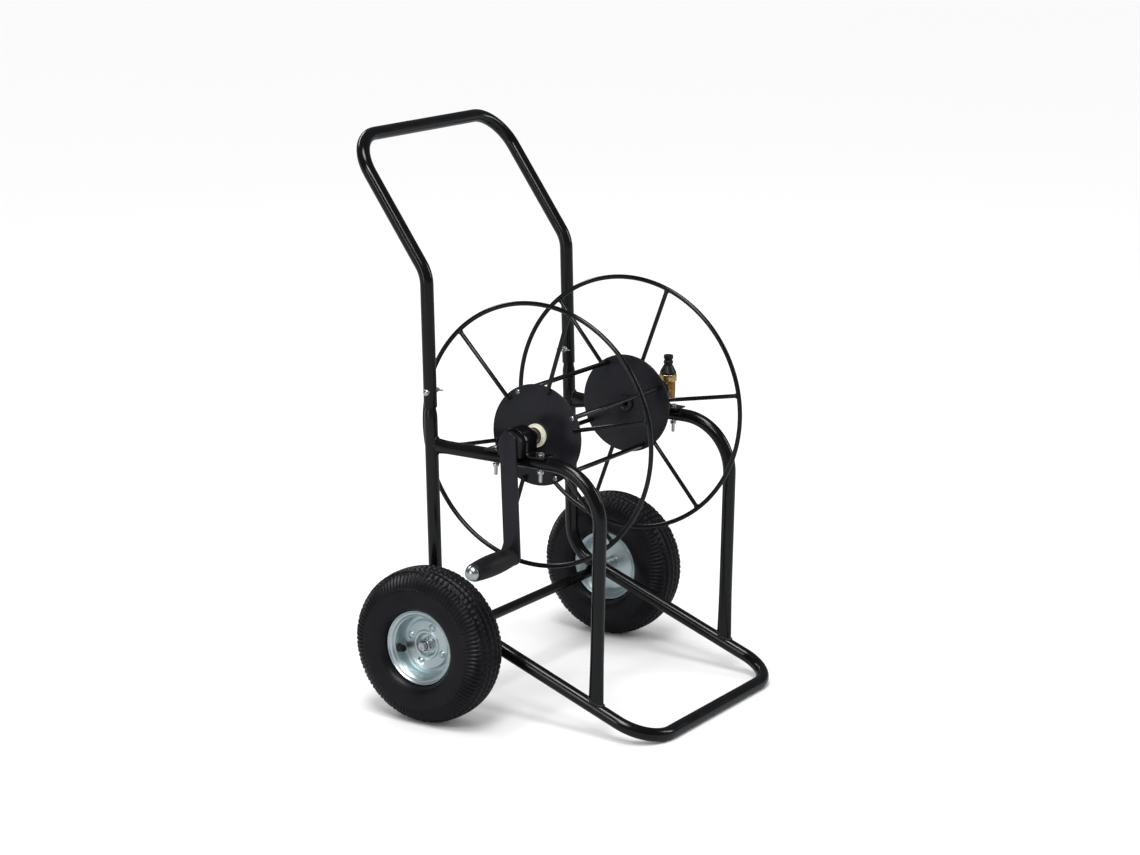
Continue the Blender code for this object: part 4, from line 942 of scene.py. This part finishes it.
def build_bar(number):
    low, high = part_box(f"crossbar_{number}")
    place = middle(f"crossbar_{number}")
    bm = soften(round_bar((low.x, place.y, place.z), (high.x, place.y, place.z), 0.0040, 28), 0.0005)
    add_piece(f"bar_{number}", bm, "reel", gloss_paint, [f"crossbar_{number}"])
    for name, side in SIDES:
        node = f"crossbar_screw_{name}_{number}"
        low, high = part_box(node)
        face = low.x if side < 0 else high.x
        head = [(0, 0), (0, 0.0014), (-0.0007, 0.0030), (-0.0016, 0.0042), (-0.0030, 0.0046), (-0.0030, 0.0020)]
        head += [(-0.012, 0.0020), (-0.012, 0)]
        screw = lathe(head, Vector((face, place.y, place.z)), 32, rounding=0.0003, side=side)
        # Painted shade: two thin black blocks lie on the zinc head, just proud of it, in place of a cut driver's
        # recess
        recess = Matrix.Translation((face + side * 0.00001 - side * CROSS_DEPTH * 0.45, place.y, place.z))
        cross = bmesh.new()
        for turn in (20, 110):
            arm = Matrix.Rotation(math.radians(turn), 4, "X") @ Matrix.Diagonal((CROSS_DEPTH, 0.0050, 0.0010, 1))
            bmesh.ops.create_cube(cross, size=1, matrix=recess @ arm)
        add_piece(f"bar_screw_{name}_{number}", screw, "reel", bright_zinc, [node])
        add_piece(f"bar_screw_cross_shade_{name}_{number}", cross, "reel", black_plastic)


for name, _ in SIDES:
    build_disc(name)
for number in range(1, 5):
    build_bar(number)

# %% [markdown]
# ## Shafts, thrust rings and bearings
# The crank's shaft and the inlet's shaft are pipe. A cream nylon ring keeps each disc off its bearing, and each
# bearing is a ribbed black block that stands on the hoop under a steel saddle.

# %% Turn the shafts and rings
SHAFT_BORE = 0.0103
RIB_PITCH, RIB_DEPTH = 0.0082, 0.0009
axis_line = Vector((0, reel_axis.y, reel_axis.z))


def build_shafts():
    low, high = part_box("crank_shaft")
    radius = extent("crank_shaft").z / 2
    profile = [(low.x, SHAFT_BORE), (low.x, radius), (high.x, radius), (high.x, SHAFT_BORE)]
    bm = lathe(profile, axis_line, 56, closed=True, rounding=0.0006)
    add_piece("crank_pipe", bm, "reel", gloss_paint, ["crank_shaft"])
    low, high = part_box("inlet_shaft")
    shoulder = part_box("inlet_elbow")[0].x - 0.0005
    profile = [(low.x + 0.0012, 0.0055), (low.x + 0.0012, 0.0095), (low.x, 0.0100), (low.x, radius - 0.0006)]
    profile += [(low.x + 0.0006, radius), (shoulder, radius), (shoulder, 0.0080), (high.x, 0.0080), (high.x, 0.0055)]
    bm = lathe(profile, axis_line, 56, closed=True, rounding=0.0006)
    add_piece("inlet_pipe", bm, "reel", charcoal_paint, ["inlet_shaft"])


def build_thrust_ring(name, side):
    low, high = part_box(f"thrust_ring_{name}")
    outer = extent(f"thrust_ring_{name}").z / 2
    start, end = (low.x, high.x) if side > 0 else (-high.x, -low.x)
    inner = 0.01365
    profile = [(start, inner), (start, outer), (start + 0.0042, outer), (start + 0.0046, outer - 0.0035)]
    profile += [(end, outer - 0.0040), (end, inner)]
    bm = lathe(profile, axis_line, 72, closed=True, rounding=0.0006, side=side)
    add_piece(f"thrust_ring_{name}_nylon", bm, "reel", cream_nylon, [f"thrust_ring_{name}"])


def build_bearing(name):
    """A block with a round top and sunk ribs along its whole length, which show where it sticks out of the saddle."""
    low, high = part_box(f"bearing_{name}")
    radius = (high.y - low.y) / 2
    bm = bmesh.new()
    outline = []
    for step in range(25):
        angle = math.pi * step / 24
        outline.append((low.x, reel_axis.y + radius * math.cos(angle), reel_axis.z + radius * math.sin(angle)))
    outline += [(low.x, low.y, low.z), (low.x, high.y, low.z)]
    face = bm.faces.new([bm.verts.new(point) for point in outline])
    ribs = 2 * round((high.x - low.x) / RIB_PITCH) + 1
    shrink = (radius - RIB_DEPTH) / radius
    for rib in range(ribs):
        face = push_face(bm, face, Vector(((high.x - low.x) / ribs, 0, 0)))
        if rib < ribs - 1:
            scale = 1 / shrink if rib % 2 else shrink
            face = push_face(bm, face, Vector())
            bmesh.ops.scale(bm, verts=face.verts[:], vec=(1, scale, scale), space=Matrix.Translation(-reel_axis))
    soften(bm, 0.00035, 2, 50)
    add_piece(f"bearing_{name}_block", bm, "frame", black_plastic, [f"bearing_{name}"])


build_shafts()
for name, side in SIDES:
    build_thrust_ring(name, side)
    build_bearing(name)

# %% [markdown]
# ## Saddles
# A saddle is one strip of steel, bent over the bearing and out into two feet. The strip's outer line is drawn
# once, pushed sideways to its width, and then thickened inwards, as sheet metal keeps one thickness in its bends.

# %% Bend the saddles
SADDLE_SHEET, SADDLE_FILLET = 0.003, 0.0050
M6_RADIUS, M6_PITCH = 0.003, 0.001


def saddle_line(low, high):
    """The outside of a saddle from its front foot over the arch to its rear foot."""
    outer = high.z - reel_axis.z
    foot_z = low.z + SADDLE_SHEET
    half = []
    for step in range(13):
        angle = math.radians(90 * (1 - step / 12))
        half.append((outer * math.cos(angle), reel_axis.z + outer * math.sin(angle)))
    for step in range(7):
        angle = math.radians(90 * step / 6)
        across = outer + SADDLE_FILLET * (1 - math.cos(angle))
        half.append((across, foot_z + SADDLE_FILLET * (1 - math.sin(angle))))
    half.append((high.y - reel_axis.y, foot_z))
    line = [(-across, z) for across, z in reversed(half[1:])] + half
    return [(low.x, reel_axis.y + across, z) for across, z in line]


def build_saddle(name):
    low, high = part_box(f"saddle_{name}")
    bm = bmesh.new()
    wire(bm, saddle_line(low, high))
    push(bm, bm.edges[:], Vector((high.x - low.x, 0, 0)), 4)
    bmesh.ops.recalc_face_normals(bm, faces=bm.faces)
    top = max(bm.faces, key=lambda face: face.calc_center_median().z)
    if top.normal.z < 0:
        bmesh.ops.reverse_faces(bm, faces=bm.faces)
    bmesh.ops.solidify(bm, geom=bm.faces[:], thickness=SADDLE_SHEET)
    soften(bm, 0.0008, 3, 50)
    add_piece(f"saddle_{name}_strip", bm, "frame", gloss_paint, [f"saddle_{name}"])


def build_saddle_bolts(name):
    """An M6 bolt with a washer under its head, and a flanged nut, at each of a saddle's feet."""
    for place in ("front", "rear"):
        node = f"saddle_bolt_{name}_{place}"
        low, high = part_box(node)
        centre = middle(node)
        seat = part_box(f"saddle_{name}")[0].z + SADDLE_SHEET + 0.0003
        line = Vector((centre.x, centre.y, 0))
        head = prism(0.0100, seat + 0.0008, high.z - 0.0002, line, turn=25 if place == "front" else 8)
        soften(head, 0.0006, 2)
        washer = [(seat, 0.0031), (seat, 0.0056), (seat + 0.0009, 0.0056), (seat + 0.0009, 0.0031)]
        merge(head, lathe(washer, line, 36, "Z", closed=True, rounding=0.0002))
        thread_top = low.z + 0.022
        shank = [(seat, 0), (seat, M6_RADIUS), (thread_top, M6_RADIUS)]
        shank += threaded(thread_top, M6_RADIUS, 0.022, M6_PITCH, -1) + [(low.z, 0)]
        merge(head, lathe(shank, line, 28, "Z"))
        add_piece(f"{node}_m6", head, "frame", bright_zinc, [node])
        node = f"saddle_nut_{name}_{place}"
        low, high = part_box(node)
        nut = prism(0.0098, low.z, high.z - 0.0009, line, turn=12)
        soften(nut, 0.0006, 2)
        ring = [(high.z - 0.0009, 0.0031), (high.z - 0.0009, 0.0057), (high.z, 0.0057), (high.z, 0.0031)]
        merge(nut, lathe(ring, line, 36, "Z", closed=True, rounding=0.0002))
        add_piece(f"{node}_m6", nut, "frame", bright_zinc, [node])


for name, side in SIDES:
    build_saddle(name)
    build_saddle_bolts(name)

# %% [markdown]
# ## The crank
# The arm is flat bar with round ends and slightly rolled edges. The grip is a moulded rubber sleeve, fattest in
# the middle, that turns on a pin, and the pin ends in a polished dome.

# %% Make the crank arm and grip
def build_crank_arm():
    low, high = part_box("crank_arm")
    swing = grip_axis - Vector((grip_axis.x, reel_axis.y, reel_axis.z))
    throw = swing.length
    half, top = 0.0152, 0.0076
    bm = bmesh.new()
    outline = []
    for centre_z, start in ((top, 0), (-throw, 180)):
        for step in range(17):
            angle = math.radians(start + 180 * step / 16)
            outline.append((low.x, half * math.cos(angle), centre_z + half * math.sin(angle)))
    face = bm.faces.new([bm.verts.new(point) for point in outline])
    push_face(bm, face, Vector((high.x - low.x, 0, 0)))
    bmesh.ops.recalc_face_normals(bm, faces=bm.faces)
    soften(bm, 0.0011, 3, 50)
    tilt = math.atan2(-swing.y, -swing.z)
    bmesh.ops.rotate(bm, verts=bm.verts, matrix=Matrix.Rotation(-tilt, 3, "X"))
    bmesh.ops.translate(bm, verts=bm.verts, vec=(0, reel_axis.y, reel_axis.z))
    add_piece("crank_flat_bar", bm, "reel", charcoal_paint, ["crank_arm"])


def build_grip():
    low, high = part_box("grip_sleeve")
    length = high.x - low.x
    end_radius, swell, bore = 0.0142, 0.0037, 0.0046
    line = Vector((0, grip_axis.y, grip_axis.z))
    profile = [(high.x, bore)]
    for step in range(29):
        share = step / 28
        around = end_radius + swell * math.sin(math.pi * share) ** 0.8
        profile.append((high.x - length * share, around))
    profile[1] = (high.x, end_radius - 0.0012)
    profile[-1] = (low.x, end_radius - 0.0012)
    profile.insert(2, (high.x - 0.0015, end_radius + 0.0002))
    profile.insert(-1, (low.x + 0.0015, end_radius + 0.0002))
    profile.append((low.x, bore))
    bm = lathe(profile, line, 72, closed=True)
    add_piece("grip_rubber_sleeve", bm, "grip", grip_rubber, ["grip_sleeve"])
    low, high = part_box("grip_pin")
    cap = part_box("grip_sleeve")[0].x - 0.0005 - low.x
    length, radius = high.x - low.x, 0.0125
    dome = [(0, 0), (cap * 0.03, radius * 0.25), (cap * 0.12, radius * 0.5), (cap * 0.27, radius * 0.72)]
    dome += [(cap * 0.50, radius * 0.9), (cap * 0.78, radius), (cap, radius), (cap, 0.004)]
    dome += [(length - 0.002, 0.004), (length - 0.002, 0.006), (length, 0.006), (length, 0)]
    bm = lathe(dome, Vector((low.x, grip_axis.y, grip_axis.z)), 56, rounding=0.0005)
    add_piece("grip_pin_dome", bm, "reel", bright_zinc, ["grip_pin"])


build_crank_arm()
build_grip()

# %% [markdown]
# ## The water inlet
# A forged brass elbow swivels on the inlet shaft. A lighter brass collar is screwed into its top, and a black
# plastic connector with a ridged tip takes the hose.

# %% Make the elbow, collar and connector
def build_inlet():
    low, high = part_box("inlet_elbow")
    line = Vector((inlet_axis.x, inlet_axis.y, 0))
    upright_part = prism(0.0256, low.z, high.z, line, sides=8, turn=22.5)
    soften(upright_part, 0.0014, 3)
    socket = [(low.x, 0.0084), (low.x, 0.0132), (low.x + 0.003, 0.0134), (low.x + 0.0045, 0.0122)]
    socket += [(inlet_axis.x, 0.0118), (inlet_axis.x, 0.0084)]
    merge(upright_part, lathe(socket, axis_line, 48, closed=True, rounding=0.0007))
    add_piece("elbow_forging", upright_part, "inlet", aged_brass, ["inlet_elbow"])
    low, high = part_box("inlet_collar")
    collar = prism(extent("inlet_collar").x * 0.995, low.z, high.z, line, turn=30)
    soften(collar, 0.0012, 3)
    add_piece("collar_hex", collar, "inlet", brass, ["inlet_collar"])
    base, top = high.z + 0.0003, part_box("hose_connector")[1].z
    share = (top - base) / 10
    skirt = [(0, 0.0045), (0, 0.0138), (0.3, 0.0145), (1.0, 0.0145), (1.2, 0.0138), (1.5, 0.0134), (3.2, 0.0104)]
    neck = [(4.6, 0.0078), (5.4, 0.0074), (5.7, 0.0084), (6.8, 0.0084), (7.1, 0.0070), (7.8, 0.0070)]
    tip = [(8.1, 0.0084), (9.6, 0.0084), (10, 0.0078), (10, 0.0045)]
    profile = [(base + share * along, radius) for along, radius in skirt + neck + tip]
    bm = lathe(profile, line, 56, "Z", closed=True, rounding=0.0003)
    ribs = bmesh.new()
    for index in range(12):
        angle = math.tau * index / 12
        out = Vector((math.cos(angle), math.sin(angle), 0))
        start = line + out * 0.0132 + Vector((0, 0, base + share * 1.3))
        end = line + out * 0.0078 + Vector((0, 0, base + share * 4.4))
        round_bar(start, end, 0.0007, 8, ribs)
    merge(bm, ribs)
    add_piece("connector_plastic", bm, "inlet", black_plastic, ["hose_connector"])


build_inlet()

# %% [markdown]
# ## Handle bolts and wing nuts
# A domed bolt goes through the handle and the frame on each side, and a wing nut on the inside tightens it by
# hand. The wings are two small plates with round tops, one on each side of the nut.

# %% Make the handle bolts and wing nuts
def build_handle_bolt(name, side):
    place = wing_axis[name]
    seat = tube_radius
    tail = 0.0245
    thread = -seat - 0.002
    profile = [(seat + 0.0041, 0), (seat + 0.0038, 0.0025), (seat + 0.0028, 0.0045), (seat + 0.0010, 0.0058)]
    profile += [(seat - 0.0006, 0.0058), (seat - 0.0006, M6_RADIUS), (thread, M6_RADIUS)]
    profile += threaded(thread, M6_RADIUS, tail - seat - 0.002, M6_PITCH, -1) + [(-tail, 0)]
    bm = lathe(profile, place, 36, side=side)
    add_piece(f"handle_bolt_{name}_m6", bm, "frame", bright_zinc, [f"handle_bolt_{name}"])


def build_wing_nut(name, side):
    place = wing_axis[name]
    start = -tube_radius - 0.0006
    profile = [(start, 0.0034), (start, 0.0056), (start - 0.0014, 0.0056)]
    profile += [(start - 0.0065, 0.0046), (start - 0.0065, 0.0034)]
    bm = lathe(profile, place, 36, closed=True, rounding=0.0005, side=side)
    for way in (-1, 1):
        outline = []
        for step in range(13):
            angle = math.radians(-40 + 220 * step / 12)
            outline.append((0.0048 * math.sin(angle), 0.0048 * math.cos(angle)))
        blade = bmesh.new()
        face = blade.faces.new([blade.verts.new((x, y, -0.0009)) for x, y in outline])
        push_face(blade, face, Vector((0, 0, 0.0018)))
        soften(blade, 0.0004, 2, 50)
        bmesh.ops.scale(blade, verts=blade.verts, vec=(1.05, 1.05, 1))
        bmesh.ops.translate(blade, verts=blade.verts, vec=(side * (start - 0.0058), way * 0.0082, 0))
        bmesh.ops.translate(blade, verts=blade.verts, vec=place)
        merge(bm, blade)
    add_piece(f"wing_nut_{name}_cast", bm, f"wing_{name}", cast_zinc, [f"wing_nut_{name}"], sharp=50)


for name, side in SIDES:
    build_handle_bolt(name, side)
    build_wing_nut(name, side)

# %% [markdown]
# ## The studio
# The cart stands on a plain pale floor under a broad top light and four soft boxes, which draw white lines along
# the black tubes. Gloss black shows whatever surrounds it, so photographers hang dark cloths, called flags, out of
# sight. The sky and the floor do the same here: both are pale to look at but show dim in reflections.

# %% Lay the floor and hang the lights
def build_floor():
    bm = bmesh.new()
    bmesh.ops.create_grid(bm, x_segments=1, y_segments=1, size=60)
    mesh = bpy.data.meshes.new("floor")
    bm.to_mesh(mesh)
    bm.free()
    floor = bpy.data.objects.new("floor", mesh)
    bpy.context.scene.collection.objects.link(floor)
    pale = bpy.data.materials.new("pale_floor")
    pale.use_nodes = True
    nodes, links = pale.node_tree.nodes, pale.node_tree.links
    shader = nodes["Principled BSDF"]
    shader.inputs["Roughness"].default_value = 0.9
    shader.inputs["Specular IOR Level"].default_value = 0.1
    rays = nodes.new("ShaderNodeLightPath")
    mix = nodes.new("ShaderNodeMix")
    mix.data_type = "RGBA"
    mix.inputs["A"].default_value = (0.88, 0.88, 0.88, 1)
    mix.inputs["B"].default_value = (0.36, 0.37, 0.38, 1)
    links.new(rays.outputs["Is Glossy Ray"], mix.inputs["Factor"])
    links.new(mix.outputs["Result"], shader.inputs["Base Color"])
    mesh.materials.append(pale)


def add_light(name, place, aim, width, height, power):
    lamp = bpy.data.lights.new(name, "AREA")
    lamp.shape = "RECTANGLE"
    lamp.size, lamp.size_y = width, height
    lamp.energy = power
    light = bpy.data.objects.new(name, lamp)
    light.location = place
    light.rotation_euler = (Vector(aim) - Vector(place)).to_track_quat("-Z", "Y").to_euler()
    bpy.context.scene.collection.objects.link(light)


def build_sky():
    """A white room for the floor and the matt surfaces, and a dim one for reflections, as dark flags give."""
    world = bpy.data.worlds.new("soft_sky")
    bpy.context.scene.world = world
    world.use_nodes = True
    nodes, links = world.node_tree.nodes, world.node_tree.links
    room = nodes["Background"]
    room.inputs["Color"].default_value = (1, 1, 1, 1)
    room.inputs["Strength"].default_value = SKY_STRENGTH
    flags = nodes.new("ShaderNodeBackground")
    flags.inputs["Color"].default_value = (0.9, 0.95, 1, 1)
    flags.inputs["Strength"].default_value = FLAG_STRENGTH
    rays = nodes.new("ShaderNodeLightPath")
    mix = nodes.new("ShaderNodeMixShader")
    links.new(rays.outputs["Is Glossy Ray"], mix.inputs["Fac"])
    links.new(room.outputs["Background"], mix.inputs[1])
    links.new(flags.outputs["Background"], mix.inputs[2])
    links.new(mix.outputs["Shader"], nodes["World Output"].inputs["Surface"])


def add_top_light(power, spread, tilt):
    """A broad light from straight above, the same everywhere on the floor, which gives the soft shadow."""
    lamp = bpy.data.lights.new("top_light", "SUN")
    lamp.energy = power
    lamp.angle = math.radians(spread)
    light = bpy.data.objects.new("top_light", lamp)
    light.rotation_euler = [math.radians(angle) for angle in tilt]
    bpy.context.scene.collection.objects.link(light)


SKY_STRENGTH, FLAG_STRENGTH = 0.68, 0.12
cart_middle = (cad_low + cad_high) / 2
build_floor()
build_sky()
add_top_light(1.45, 22, (6, -16, 0))
add_light("soft_key", (-2.4, -0.9, 3.0), cart_middle, 1.1, 0.7, 34)
add_light("soft_fill", (2.4, -2.6, 2.0), cart_middle, 0.5, 1.6, 20)
add_light("side_strip", (-3.2, 0.6, 1.2), cart_middle, 0.3, 1.8, 9)
add_light("long_rim", (0.8, 2.8, 2.6), cart_middle, 2.2, 0.4, 22)
bpy.context.scene.view_settings.view_transform = "Standard"

# %% [markdown]
# ## The camera
# The camera stands off the front left corner of the cart, a little above the handle, and looks slightly down
# through a long lens, so the cart keeps its true proportions.

# %% Place the camera
CAMERA_AZIMUTH, CAMERA_ELEVATION, CAMERA_ROLL = -58.611, 13.484, 1.103
CAMERA_PLACE = Vector((-3.9992, -2.4540, 1.5776))
LENS_MM = 90.67


def build_camera():
    turn, rise, roll = (math.radians(a) for a in (CAMERA_AZIMUTH, CAMERA_ELEVATION, CAMERA_ROLL))
    back = Vector((math.sin(turn) * math.cos(rise), -math.cos(turn) * math.cos(rise), math.sin(rise)))
    right = Vector((math.cos(turn), math.sin(turn), 0))
    up = back.cross(right)
    right, up = right * math.cos(roll) + up * math.sin(roll), up * math.cos(roll) - right * math.sin(roll)
    data = bpy.data.cameras.new("camera")
    data.lens = LENS_MM
    data.sensor_width = 36
    data.clip_end = 200
    camera = bpy.data.objects.new("camera", data)
    camera.matrix_world = Matrix.Translation(CAMERA_PLACE) @ Matrix((right, up, back)).transposed().to_4x4()
    bpy.context.scene.collection.objects.link(camera)
    bpy.context.scene.camera = camera


build_camera()

# %% Write the sizes and finish
print("against", [round(side, 4) for side in cad_high - cad_low])
